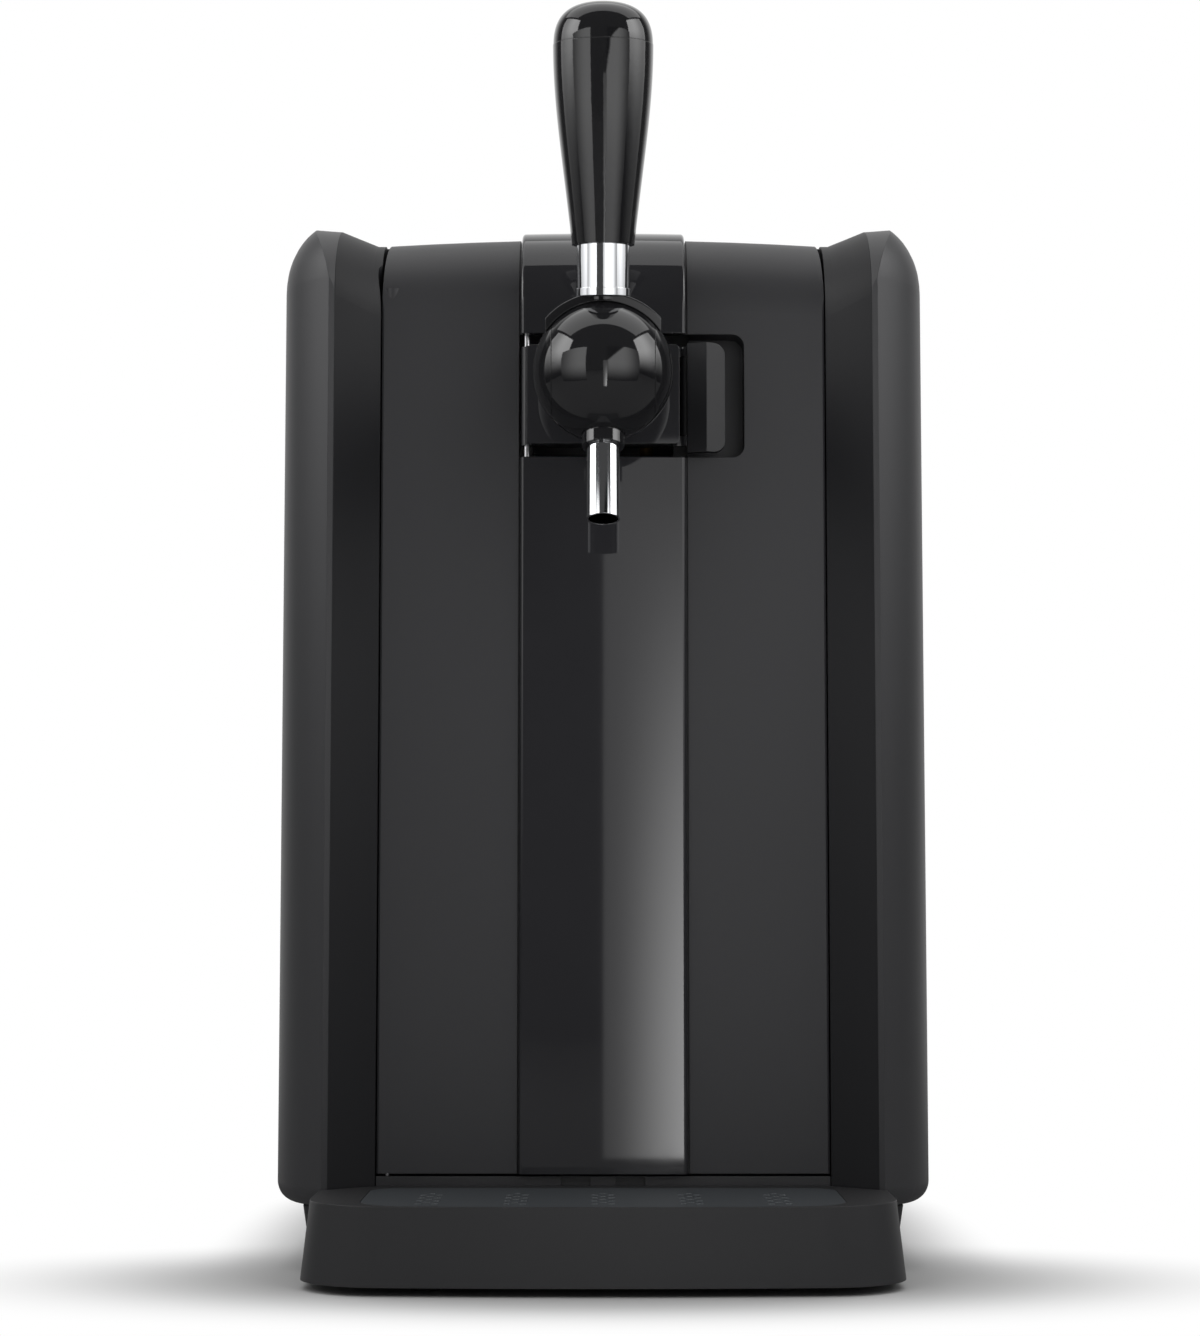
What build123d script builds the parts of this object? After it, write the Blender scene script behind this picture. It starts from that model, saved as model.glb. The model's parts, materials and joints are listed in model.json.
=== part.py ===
from build123d import *
from math import asin, cos, degrees, hypot, radians, sin, sqrt
import os

# Counter-top dispenser for a five litre mini keg.
# Frame: X to the right seen from the front, Y to the rear, Z up, origin on the
# counter under the centre of the bounding box, all sizes in millimetres.

# ---- overall sizes ----
rear_y = 222.0
door_face_y = -127.0
tray_front_y = -222.0
body_top_z = 418.5
body_bottom_z = 25.0
wall = 3.0
seam = 0.4
run_gap = 0.3
pin_fit = 0.06

# ---- side wings ----
wing_width = 20.9
fairing_width = 19.6
ridge_y = -145.0
bevel_width = 2.2
wing_turn = 54.0
wing_top_rise = 2.3
wing_corner_width = 20.0
wing_corner_height = 28.0
rear_corner_radius = 26.0
rear_top_radius = 18.0
wing_foot_radius = 8.0

# ---- front frame and fairings ----
jamb_width = 2.0
fairing_rise = 3.0
front_roll_radius = 35.0
roll_overrun = 0.05
crown_radius = 1446.0
landing_thickness = 4.0
opening_side_gap = 2.0
opening_bottom_z = 50.0
opening_top_z = 352.0
opening_corner_radius = 8.0

# ---- door ----
door_side_gap = 0.5
door_bottom_z = 37.0
door_depth = 32.0
door_draft = 2.5
door_bevel = 0.8
hinge_inset = 4.0
door_liner_thickness = 2.0
gasket_thickness = 2.7
gasket_width = 7.0
hinge_pin_radius = 1.2
hinge_eye_radius = 2.4
hinge_ear_height = 4.0
hinge_ear_z = 380.0
door_pin_reach = 9.0
door_pin_depth = 16.0

# ---- front band and tap opening ----
band_half_width = 33.3
band_proud = 2.8
band_edge_radius = 1.4
band_seat_depth = 1.0
band_groove = 0.7
band_top_chamfer = 0.4
tap_opening_half_width = 34.0
tap_opening_bottom_z = 322.4
tap_opening_top_z = 372.7
recess_right_x = 57.0
recess_depth = 13.0
recess_wall = 2.0
recess_corner_radius = 5.0

# ---- keg chamber ----
keg_radius = 86.0
keg_side_gap = 2.5
chamber_front_gap = 1.5
liner_thickness = 2.0
jacket_thickness = 14.0
platform_height = 6.0
platform_rib_count = 12

# ---- base and feet ----
plinth_inset = 15.1
plinth_flare = 3.2
plinth_top_z = 34.0
plinth_bottom_z = 4.0
foot_radius = 10.0
foot_inset = 26.0
plinth_front_corner = 4.0
sill_notch_width = 33.0
sill_notch_depth = 2.0
sill_tongue_width = 10.0
rail_half_span = 66.0
rail_width = 12.0
rail_height = 5.1
rail_reach = 74.0
rail_side_gap = 0.5
rail_top_gap = 0.35

# ---- drip tray ----
tray_inset = 20.7
tray_flare = 3.4
tray_bottom_z = 3.3
tray_top_z = 32.5
tray_corner_radius = 32.0
tray_front_bow = 6.0
tray_wall = 2.6
tray_floor_z = 12.0
tray_side_gap = 1.5
tray_shoulder_gap = 4.0
cover_inset = 19.8
cover_depth = 80.0
cover_corner_radius = 12.0
cover_thickness = 2.5
cover_front_rim = 2.2
cover_front_radius = 20.0
cover_ledge = 3.0
drain_hole_radius = 1.1
drain_hole_pitch = 6.2
drain_rows = 8
drain_group_pitch = 32.6

# ---- tap ----
tap_plate_half_width = 30.7
tap_plate_bottom_z = 327.3
tap_plate_top_z = 367.7
tap_plate_proud = 5.0
tap_plate_thickness = 3.0
tap_housing_half_width = 25.0
tap_housing_depth = 22.0
tap_pin_radius = 1.4
tap_pin_x = -31.0
tap_pin_y = -124.5
tap_boss_height = 5.5
knuckle_wall = 1.2
ball_y = -168.0
ball_z = 350.0
ball_radius = 27.5
ball_seam_x = 20.1
neck_radius = 16.0
axle_radius = 2.5
tube_radius = 4.5
tube_wall = 1.3
tube_z = 337.0
tube_rear_y = -108.0
tube_bend = 8.0
spout_radius = 6.45
spout_bore_radius = 5.7
spout_end_y = -182.0
spout_end_z = 290.0
spout_lean = 14.0
spout_length = 31.0
collar_nut_radius = 8.2
collar_nut_height = 6.0

# ---- tap handle ----
handle_lean = 7.0
handle_turn = 35.0
hood_gap = 0.3
hood_thickness = 3.2
hood_half_width = 22.5
hood_rear_angle = 140.0
hood_front_reach = 6.5
hood_edge_radius = 0.5
crank_angle = 134.0
crank_half_angle = 5.0
crank_width = 7.0
crank_eye_wall = 2.5
crank_slot_margin = 2.0
collar_radius = 10.4
collar_wall = 3.0
collar_flange = 0.5
collar_reach = 49.2
grip_length = 77.7
grip_crown_pull = 24.0
cap_height = 16.6
cap_side_pull = 12.1
cap_top_share = 0.66
grip_bottom_radius = 12.2
grip_radius = 19.6
cap_step = 0.15

# ---- release lever ----
lever_left_x = 33.9
lever_right_x = 49.1
lever_bottom_z = 323.8
lever_top_z = 368.2
lever_facet_x = 41.6
lever_facet_lift = 3.0
lever_thickness = 3.0
lever_proud = 3.8
lever_corner_radius = 4.8
lever_pin_radius = 1.2
lever_pin_x = 33.6
lever_pin_y = -124.5
lever_ear_height = 4.0
lever_nose_half = 6.0

# ---- pinch valve ----
plunger_y = -144.0
plunger_radius = 3.5

# ---- cooling and electrics ----
cold_plate_half = 28.0
cooler_z = 205.0
peltier_half = 20.0
peltier_thickness = 4.0
sink_half = 48.0
sink_base = 8.0
sink_fin_length = 42.0
sink_fin_count = 17
sink_fin_thickness = 1.6
fan_half = 46.0
fan_depth = 25.0
fan_bore_radius = 43.0
fan_hub_radius = 17.0
fan_blade_count = 7
fan_tip_gap = 1.2
fan_spindle_radius = 2.0
grille_slot_count = 11
grille_slot_width = 4.5
grille_bar_width = 3.6
inlet_z = 62.0
inlet_x = -70.0
inlet_width = 27.0
inlet_height = 20.0
inlet_depth = 24.0
socket_width = 24.0
socket_height = 15.5
socket_depth = 17.0
switch_x = -30.0
switch_half_width = 7.0
switch_half_height = 10.5
rocker_radius = 9.4
rocker_depth = 8.0
rocker_pin_radius = 1.5
supply_board_rise = 8.0
board_thickness = 1.6
screw_head_radius = 3.2
screw_head_height = 1.8
screw_shank_radius = 1.5

# ---- top controls ----
cover_split_z = 398.0
board_z = 384.0
display_y = -20.0
display_half_x = 26.0
display_half_y = 12.0
button_radius = 5.5
button_spacing = 44.0
button_proud = 0.6
button_length = 9.0
button_travel = 1.5

# ---- air pump ----
nozzle_radius = 3.0
nozzle_x = 20.0
nozzle_y = 58.0
barb_radius = 1.8
pump_head_x = -34.0
pump_radius = 11.0
pump_length = 36.0
pump_head_length = 20.0
hose_wall = 1.2
hose_rise = 18.0
hose_bend = 7.0

os.makedirs("parts", exist_ok=True)


def block(x0, x1, y0, y1, z0, z1):
    """Rectangular solid between two corners."""
    centre = Pos((x0 + x1) / 2, (y0 + y1) / 2, (z0 + z1) / 2)
    return centre * Box(abs(x1 - x0), abs(y1 - y0), abs(z1 - z0))


def rod(radius, start, end):
    """Round bar from one point to another."""
    start = Vector(*start)
    run = Vector(*end) - start
    return extrude(Plane(origin=start, z_dir=run) * Circle(radius), run.length)


def pillar(radius, x, y, z0, z1):
    """Upright round bar between two heights."""
    return rod(radius, (x, y, z0), (x, y, z1))


def tube(outer, inner, start, end):
    """Round pipe from one point to another."""
    start = Vector(*start)
    run = Vector(*end) - start
    ring = Circle(outer) - Circle(inner)
    return extrude(Plane(origin=start, z_dir=run) * ring, run.length)


def upright(points, z0, z1):
    """Vertical prism over a polygon given in plan."""
    return extrude(Pos(0, 0, z0) * make_face(Polyline(*points, close=True)), z1 - z0)


def from_front(sketch, y_front, y_rear):
    """Prism along Y of a sketch drawn in X and Z as seen from the front."""
    rear = Plane(origin=(0, y_rear, 0), x_dir=(1, 0, 0), z_dir=(0, -1, 0))
    return extrude(rear * sketch, y_rear - y_front)


def panel(x0, x1, z0, z1, y_front, y_rear, radius):
    """Plate in the XZ plane with rounded corners."""
    outline = Pos((x0 + x1) / 2, (z0 + z1) / 2) * RectangleRounded(x1 - x0, z1 - z0, radius)
    return from_front(outline, y_front, y_rear)


def both_sides(piece):
    """The piece and its mirror image in the middle plane."""
    return piece + mirror(piece, Plane.YZ)


def ring_of(piece, count, centre, axis):
    """Copies of a piece spread evenly round an axis."""
    turn = Axis(centre, axis)
    return [piece.rotate(turn, 360 * step / count) for step in range(count)]


def save(name, piece):
    """Write one node to its STEP file."""
    export_step(piece, f"parts/{name}.step")


# ---- sizes that follow from the ones above ----
opening_half_width = keg_radius + opening_side_gap
fairing_root_x = opening_half_width + jamb_width
fairing_rise_x = fairing_root_x + fairing_rise
door_half_width = fairing_root_x - door_side_gap
ridge_x = fairing_root_x + fairing_width
body_half_width = ridge_x + wing_width
fairing_edge_x = ridge_x - bevel_width
plinth_half_width = body_half_width - plinth_inset
tray_half_width_top = body_half_width - tray_inset
tray_half_width_bottom = tray_half_width_top + tray_flare
cover_half_width = tray_half_width_top - cover_inset
grip_reach = collar_reach + grip_length
handle_reach = grip_reach + cap_height
fairing_edge_y = ridge_y + bevel_width / 2
wing_radius = (body_half_width - ridge_x) / (1 - cos(radians(wing_turn)))
wing_centre_x = body_half_width - wing_radius
wing_centre_y = ridge_y + wing_radius * sin(radians(wing_turn))
wing_top_z = body_top_z + wing_top_rise
fairing_length = hypot(fairing_edge_x - fairing_root_x, fairing_edge_y - door_face_y)
fairing_run = Vector(
    (fairing_edge_x - fairing_root_x) / fairing_length,
    (fairing_edge_y - door_face_y) / fairing_length,
    0,
)
door_rear_y = door_face_y + door_depth
landing_y = door_rear_y + gasket_thickness + run_gap
frame_rear_y = landing_y + landing_thickness
crown_drop = crown_radius - sqrt(crown_radius**2 - fairing_rise_x**2)
roll_end_y = door_face_y + front_roll_radius
hinge_x = -door_half_width + hinge_inset
hinge_y = door_face_y + hinge_inset
hinge_pocket_radius = hypot(hinge_inset, hinge_inset) + run_gap
jacket_top_z = opening_top_z + 4 + liner_thickness + jacket_thickness
top_wall_z = body_top_z - front_roll_radius
liner_top_z = body_top_z - front_roll_radius - 3
liner_hole_half = tap_housing_half_width + 4
chamber_radius = keg_radius + keg_side_gap
chamber_centre_y = frame_rear_y + chamber_radius + chamber_front_gap
floor_z = opening_bottom_z - 2
ceiling_z = opening_top_z + 4
jacket_bottom_z = plinth_top_z
peltier_y = chamber_centre_y + chamber_radius + liner_thickness + 10
sink_y = peltier_y + peltier_thickness
fan_y = sink_y + sink_base + sink_fin_length + 1
rear_cover_half = fairing_edge_x - 0.2
rear_cover_bottom_z = plinth_top_z + seam
rail_bottom_z = plinth_bottom_z
hose_z = jacket_top_z + hose_rise
pump_z = jacket_top_z + pump_radius + 1
supply_board_z = plinth_top_z + supply_board_rise
button_top_z = body_top_z + button_proud
switch_top_z = button_top_z - button_length - button_travel - run_gap
switch_inner_half = switch_half_width - 0.6
axle_half_length = ball_seam_x + 3
hood_radius = ball_radius + hood_gap + hood_thickness
spring_top_z = tube_z + tube_radius + run_gap + 16
tray_rear_y = door_face_y - 1.2
tray_shoulder_y = fairing_edge_y - tray_shoulder_gap


def rolled(front, rear, z0, z1, front_radius, rear_radius):
    """Side view outline with a rolled-over top front edge and top rear edge."""
    outline = Polyline((front, z1 - front_radius), (front, z0), (rear, z0), (rear, z1 - rear_radius))
    outline += RadiusArc((front, z1 - front_radius), (front + front_radius, z1), front_radius)
    outline += Line((front + front_radius, z1), (rear - rear_radius, z1))
    outline += RadiusArc((rear - rear_radius, z1), (rear, z1 - rear_radius), rear_radius)
    return make_face(outline)


def crowned(front, rear, z0, z1, half_width, front_radius):
    """Block with a vertical face that rolls over into a gently crowned top."""
    reach = degrees(asin(half_width / crown_radius)) + 1
    shoulder = z1 - 2 * front_radius
    side_view = rolled(front, rear + front_radius, shoulder - front_radius, z1, front_radius, 0.5)
    hub = Axis((0, 0, body_top_z - crown_radius), (0, 1, 0))
    cap = revolve(Plane.YZ * side_view, hub, 2 * reach).rotate(hub, -reach)
    cap &= block(-half_width, half_width, front, rear, shoulder - 5, z1 + 1)
    return cap + block(-half_width, half_width, front, rear, z0, shoulder)


def corner_profile(inset, x0, outer_x):
    """Front view outline of a wing: foot radius below, elliptical shoulder above."""
    top = wing_top_z - inset
    bottom = body_bottom_z + inset
    right = outer_x - inset
    foot = wing_foot_radius - inset
    wide = wing_corner_width - inset
    high = wing_corner_height - inset
    outline = Polyline((x0, top), (x0, bottom), (right - foot, bottom))
    outline += RadiusArc((right - foot, bottom), (right, bottom + foot), -foot)
    outline += Line((right, bottom + foot), (right, top - high))
    shoulder = EllipticalCenterArc((right - wide, top - high), wide, high, arc_size=90)
    outline += shoulder
    outline += Line((right - wide, top), (x0, top))
    return make_face(outline)


def fairing_section(x, top, inset):
    """Side view of the body at one distance from the middle, for the roll of the fairing."""
    run = (x - fairing_root_x) * fairing_run.Y + inset
    front = door_face_y + run / fairing_run.X
    height = front_roll_radius - inset
    top = top - inset + roll_overrun
    far = rear_y + 10
    outline = Polyline((front, top - height), (front, 0), (far, 0), (far, top), (roll_end_y, top))
    outline += EllipticalCenterArc(
        (roll_end_y, top - height), roll_end_y - front, height, start_angle=90, arc_size=90
    )
    return Plane.YZ.offset(x) * make_face(outline)


def fairing_block(inset):
    """Everything behind one angled fairing, whose face rolls back to the straight top edge."""
    near_x = fairing_root_x - 10
    near_top = body_top_z - crown_radius + sqrt(crown_radius**2 - near_x**2)
    heights = (
        (near_x, near_top),
        (fairing_rise_x, body_top_z - crown_drop),
        (fairing_edge_x, wing_top_z),
        (body_half_width + 5, wing_top_z),
    )
    return loft([fairing_section(x, top, inset) for x, top in heights], ruled=True)


def wing_form(inset):
    """Solid form of the right wing and side, set in by a wall where asked."""
    radius = wing_radius - inset
    turn = radians(wing_turn)
    side = body_half_width - inset
    back = rear_y - inset
    corner = rear_corner_radius - inset
    tip = (wing_centre_x + radius * cos(turn), wing_centre_y - radius * sin(turn))
    middle = (
        wing_centre_x + radius * cos(turn / 2),
        wing_centre_y - radius * sin(turn / 2),
    )
    plan = Line((side, wing_centre_y), (side, back - corner))
    plan += ThreePointArc(tip, middle, (side, wing_centre_y))
    plan += RadiusArc((side, back - corner), (side - corner, back), -corner)
    front = (fairing_edge_x, fairing_edge_y + inset)
    plan += Polyline((side - corner, back), (0, back), (0, front[1]), front, tip)
    prism = extrude(make_face(plan), wing_top_z + 1)
    straight = from_front(corner_profile(inset, 0, body_half_width), wing_centre_y, back + 1)
    nose = revolve(
        Plane.XZ * corner_profile(inset, 0, wing_radius), Axis.Z, 360
    )
    nose = Pos(wing_centre_x, wing_centre_y, 0) * nose
    rear_roll = extrude(
        Plane.YZ * rolled(-200, back, 0, wing_top_z - inset, 0.5, rear_top_radius - inset),
        body_half_width + 1,
    )
    return (straight + nose) & prism & rear_roll


def top_limit(inset):
    """Everything below the top: a crowned middle that rises to the wing ridges."""
    top = body_top_z - inset
    root = top - crown_drop
    rise = wing_top_z - inset
    edge = fairing_edge_x
    outline = ThreePointArc((-fairing_rise_x, root), (0, top), (fairing_rise_x, root))
    outline += Polyline((fairing_rise_x, root), (edge, rise), (edge, 0), (-edge, 0), (-edge, rise))
    outline += Line((-edge, rise), (-fairing_rise_x, root))
    return from_front(make_face(outline), ridge_y - 5, rear_y + 1)


def make_side_panel():
    """Right side panel: wing, ridge, side and rear corner as one moulded shell."""
    shell = wing_form(0) & fairing_block(0)
    shell -= wing_form(wall) & fairing_block(wall)
    shell &= block(fairing_edge_x, body_half_width, ridge_y - 1, rear_y, 0, wing_top_z + 1)
    return shell


def make_front_frame():
    """Dark inner frame: both fairings, the door jambs, the landing ring and the sill."""
    root = fairing_root_x
    jamb = root + wall
    slope = fairing_run
    back_x = fairing_edge_x
    back_y = fairing_edge_y + wall / slope.X
    meet_y = back_y + (back_x - jamb) * slope.Y / slope.X * -1
    section = upright(
        [
            (root, door_face_y),
            (fairing_edge_x, fairing_edge_y),
            (back_x, back_y),
            (jamb, meet_y),
            (jamb, frame_rear_y),
            (root, frame_rear_y),
        ],
        body_bottom_z,
        wing_top_z + 1,
    )
    top = top_limit(0)
    hollow = top_limit(wall) & fairing_block(wall)
    cap = block(root, fairing_edge_x, ridge_y, landing_y, 300, wing_top_z) - hollow
    cap -= upright(
        [
            (root, door_face_y - 30),
            (fairing_edge_x, fairing_edge_y - 30),
            (fairing_edge_x, fairing_edge_y),
            (root, door_face_y),
        ],
        body_bottom_z,
        wing_top_z + 1,
    )
    side = (section + cap) & top & fairing_block(0)
    landing = block(
        -jamb, jamb, landing_y, frame_rear_y, body_bottom_z + 11, body_top_z - front_roll_radius
    )
    landing -= panel(
        -opening_half_width,
        opening_half_width,
        opening_bottom_z,
        opening_top_z,
        landing_y - 1,
        frame_rear_y + 1,
        opening_corner_radius,
    )
    side -= block(-200, 200, landing_y, frame_rear_y + 1, top_wall_z, wing_top_z + 1)
    frame = both_sides(side) + landing
    return frame - rod(hinge_pocket_radius, (hinge_x, hinge_y, 0), (hinge_x, hinge_y, wing_top_z))


def make_top_cover():
    """Top shell behind the door, with the rear roll, display window and button holes."""
    front = door_rear_y + gasket_thickness + seam
    rear_view = rolled(-200, rear_y, 300, wing_top_z, 0.5, rear_top_radius)
    inner_view = rolled(
        -200, rear_y - wall, 290, wing_top_z, 0.5, rear_top_radius - wall
    )
    reach = fairing_edge_x
    shell = top_limit(0) & extrude(Plane.YZ * rear_view, reach, both=True)
    shell -= top_limit(wall) & extrude(Plane.YZ * inner_view, reach + 1, both=True)
    shell &= block(-reach, reach, front, rear_y, cover_split_z, wing_top_z)
    step = block(-fairing_root_x - wall, fairing_root_x + wall, front - 1, frame_rear_y, 0, top_wall_z)
    shell -= step
    window = block(
        -display_half_x, display_half_x, display_y - display_half_y, display_y + display_half_y,
        cover_split_z - 1, wing_top_z + 1,
    )
    shell -= window
    for side in (-1, 1):
        hole = Pos(side * button_spacing, display_y, 400) * Cylinder(button_radius + run_gap, 60)
        shell -= hole
    return shell


def make_display_window():
    """Clear window set flush into the top cover."""
    gap = 0.1
    pane = block(
        -display_half_x + gap,
        display_half_x - gap,
        display_y - display_half_y + gap,
        display_y + display_half_y - gap,
        body_top_z - 3 * wall,
        body_top_z + 1,
    )
    return pane & (top_limit(0.2) - top_limit(wall))


def make_display_module():
    """Display glass and its small board under the window."""
    glass_top = body_top_z - wall - 1.2
    inset = 2.0
    glass = block(
        -display_half_x + inset,
        display_half_x - inset,
        display_y - display_half_y + inset,
        display_y + display_half_y - inset,
        glass_top - 3,
        glass_top,
    )
    board = block(
        -display_half_x - 4,
        display_half_x + 4,
        display_y - display_half_y - 4,
        display_y + display_half_y + 4,
        glass_top - 3 - board_thickness,
        glass_top - 3,
    )
    piece = glass + board
    for x in (-display_half_x - 1, display_half_x + 1):
        for y in (display_y - display_half_y - 1.5, display_y + display_half_y + 1.5):
            piece += pillar(1.4, x, y, glass_top - 3, body_top_z - wall - run_gap)
    return piece


def make_button(side):
    """One press button with a retaining flange under the cover."""
    x = side * button_spacing
    stem = pillar(button_radius, x, display_y, button_top_z - button_length, button_top_z)
    stem = fillet(stem.edges().sort_by(Axis.Z)[-1], 1.0)
    flange_top = body_top_z - wall - button_travel
    flange = pillar(button_radius + 2, x, display_y, flange_top - 1.5, flange_top)
    return stem + flange


def make_control_board():
    """Control board below the top cover with relays, a heat spreader and button switches."""
    top = board_z
    parts = block(-70, 70, -52, 24, top - board_thickness, top)
    for x, y, w, d, h in ((-48, 4, 16, 12, 14), (-26, 4, 12, 16, 10), (34, 6, 20, 12, 9)):
        parts += block(x, x + w, y, y + d, top, top + h)
    for side in (-1, 1):
        x = side * button_spacing
        parts += block(x - 3, x + 3, display_y - 3, display_y + 3, top, switch_top_z)
    for x in (-64, 64):
        for y in (-46, 18):
            parts += pillar(2.5, x, y, jacket_top_z, top - board_thickness)
    return parts


def door_plan(inset):
    """Plan outline of the door: drafted sides and bevelled front corners, open to the front."""
    front = door_face_y + inset
    rear = door_rear_y + gasket_thickness - 0.1
    wide = door_half_width - inset
    narrow = wide - door_draft
    slip = door_bevel + 2
    left = [(-narrow, rear), (-wide, front + door_bevel), (-wide + slip, front + door_bevel - slip)]
    right = [(-x, y) for x, y in reversed(left)]
    return make_face(Polyline(*left, *right, close=True))


def door_form(inset):
    """Solid form of the door."""
    form = crowned(
        door_face_y + inset,
        door_rear_y + gasket_thickness,
        door_bottom_z + inset,
        body_top_z - inset,
        door_half_width + 1,
        front_roll_radius - inset,
    )
    return form & extrude(door_plan(inset), body_top_z + 5)


def make_door_panel():
    """Outer door moulding with the tap opening and the finger recess beside it."""
    shell = door_form(0) - door_form(wall)
    shell -= block(-120, 120, door_rear_y, landing_y, 0, body_top_z - front_roll_radius - 1)
    tap_box = block(
        -tap_opening_half_width,
        tap_opening_half_width,
        door_face_y - 5,
        door_face_y + wall + 5,
        tap_opening_bottom_z,
        tap_opening_top_z,
    )
    pocket = panel(
        tap_opening_half_width - 8,
        recess_right_x,
        tap_opening_bottom_z,
        tap_opening_top_z,
        door_face_y - 5,
        door_face_y + recess_depth,
        recess_corner_radius,
    )
    pan = panel(
        tap_opening_half_width,
        recess_right_x + recess_wall,
        tap_opening_bottom_z - recess_wall,
        tap_opening_top_z + recess_wall,
        door_face_y + 0.5,
        door_face_y + recess_depth + recess_wall,
        recess_corner_radius,
    )
    shell = shell + pan - pocket - tap_box
    ear_slot = rod(
        hinge_eye_radius + run_gap,
        (hinge_x, hinge_y, hinge_ear_z - run_gap),
        (hinge_x, hinge_y, hinge_ear_z + hinge_ear_height + run_gap),
    )
    ear_slot += block(
        -door_half_width - 1,
        hinge_x,
        hinge_y - 3.2,
        door_rear_y + gasket_thickness,
        hinge_ear_z - run_gap,
        hinge_ear_z + hinge_ear_height + run_gap,
    )
    boss_radius = hinge_inset - 0.6
    for z0, z1 in (
        (hinge_ear_z - 8, hinge_ear_z - run_gap),
        (hinge_ear_z + hinge_ear_height + run_gap, hinge_ear_z + hinge_ear_height + 8),
        (door_bottom_z, door_bottom_z + door_pin_reach + 2),
    ):
        shell += rod(boss_radius, (hinge_x, hinge_y, z0), (hinge_x, hinge_y, z1))
    for z0, z1 in (
        (tap_opening_bottom_z - tap_boss_height, tap_opening_bottom_z),
        (tap_opening_top_z, tap_opening_top_z + tap_boss_height),
    ):
        shell += rod(tap_pin_radius + 1, (tap_pin_x, tap_pin_y, z0), (tap_pin_x, tap_pin_y, z1))
    shell -= rod(
        tap_pin_radius,
        (tap_pin_x, tap_pin_y, tap_opening_bottom_z - tap_boss_height),
        (tap_pin_x, tap_pin_y, tap_opening_top_z + tap_boss_height),
    )
    shell -= ear_slot
    shell -= rod(
        hinge_pin_radius + pin_fit,
        (hinge_x, hinge_y, hinge_ear_z - 7),
        (hinge_x, hinge_y, hinge_ear_z + hinge_ear_height + 7),
    )
    shell -= rod(
        hinge_pin_radius + pin_fit,
        (hinge_x, hinge_y, door_bottom_z - 1),
        (hinge_x, hinge_y, door_bottom_z + door_pin_reach),
    )
    seat_half = band_half_width + band_groove
    return shell - (block(-seat_half, seat_half, -200, landing_y, 0, 500) - band_seat())


def band_seat():
    """Everything inside the shallow seat of the front band, which follows the door face."""
    return crowned(
        door_face_y + band_seat_depth,
        landing_y + 5,
        door_bottom_z - 5,
        body_top_z - band_seat_depth,
        band_half_width + 5,
        front_roll_radius - band_seat_depth,
    )


def make_band(lower):
    """Glossy front band over the middle of the door, above or below the tap."""
    front = door_face_y - band_proud
    rear = door_rear_y + gasket_thickness - 0.1
    top = body_top_z + band_proud
    skin = crowned(front, rear, door_bottom_z, top, band_half_width, front_roll_radius + band_proud)
    rims = [
        edge for edge in skin.edges()
        if abs(abs(edge.center().X) - band_half_width) < 0.01
        and edge.center().Y < rear - 1
        and edge.center().Z > door_bottom_z + 1
    ]
    skin = fillet(rims, band_edge_radius) - band_seat()
    if not lower:
        return skin & block(-60, 60, -200, 0, tap_opening_top_z, 500)
    skin &= block(-60, 60, -200, 0, 0, tap_opening_bottom_z)
    top_edges = [
        edge for edge in skin.edges()
        if edge.center().Z > tap_opening_bottom_z - 0.01
        and edge.center().Y < front + band_edge_radius
    ]
    return chamfer(top_edges, band_top_chamfer)


def make_door_liner():
    """Inner door plate with a stepped pan, its rim and the gasket groove."""
    half = door_half_width - door_draft - 1
    front = door_rear_y - door_liner_thickness
    plate = panel(-half, half, door_bottom_z + wall, liner_top_z, front, door_rear_y, 4)
    tap_hole = panel(
        -liner_hole_half, liner_hole_half, tap_opening_bottom_z - 4, tap_opening_top_z + 4,
        door_rear_y - 20, door_rear_y + 5, 6,
    )
    return (plate - tap_hole) & door_form(wall)


def make_door_foam():
    """Insulation filling the door, cleared round the tap and the hinge bosses."""
    foam = door_form(wall) & block(
        -120, 120, door_face_y, door_rear_y - door_liner_thickness, 0, liner_top_z - 4
    )
    foam -= panel(
        -liner_hole_half - 6,
        recess_right_x + recess_wall + 0.3,
        tap_opening_bottom_z - 6,
        tap_opening_top_z + 6,
        door_face_y - 1,
        door_rear_y + 1,
        1,
    )
    room = hinge_inset + 3
    foam -= block(-120, hinge_x + room, -200, hinge_y + room, 0, door_bottom_z + door_pin_reach + 4)
    foam -= block(-120, hinge_x + room, -200, door_rear_y + 1, hinge_ear_z - 10, 450)
    return foam


def make_door_gasket():
    """Magnetic gasket frame round the back of the door."""
    half = door_half_width - door_draft - 2
    low = door_bottom_z + wall + 3
    high = liner_top_z - 3
    ring = panel(-half, half, low, high, door_rear_y, door_rear_y + gasket_thickness, 8)
    inner = gasket_width
    ring -= panel(
        -half + inner, half - inner, low + inner, high - inner,
        door_rear_y - 1, door_rear_y + gasket_thickness + 1, 4,
    )
    return ring


def chamber_plan(inset):
    """Plan of the keg chamber: straight walls at the front and a round back."""
    radius = chamber_radius - inset
    front = frame_rear_y
    outline = Line((radius, front), (radius, chamber_centre_y))
    outline += ThreePointArc(
        (radius, chamber_centre_y), (0, chamber_centre_y + radius), (-radius, chamber_centre_y)
    )
    outline += Polyline((-radius, chamber_centre_y), (-radius, front), (radius, front))
    return make_face(outline)


def make_chamber_liner():
    """Aluminium chamber: floor, ceiling and wrap-round wall, open to the front."""
    outer = extrude(Pos(0, 0, floor_z - liner_thickness) * chamber_plan(-liner_thickness),
                    ceiling_z - floor_z + 2 * liner_thickness)
    inner = extrude(Pos(0, -5, floor_z) * chamber_plan(0), ceiling_z - floor_z)
    inner += extrude(Pos(0, 0, floor_z) * chamber_plan(0), ceiling_z - floor_z)
    liner = outer - inner
    return liner - pillar(nozzle_radius, nozzle_x, nozzle_y, ceiling_z - 5, ceiling_z + 9)


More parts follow.
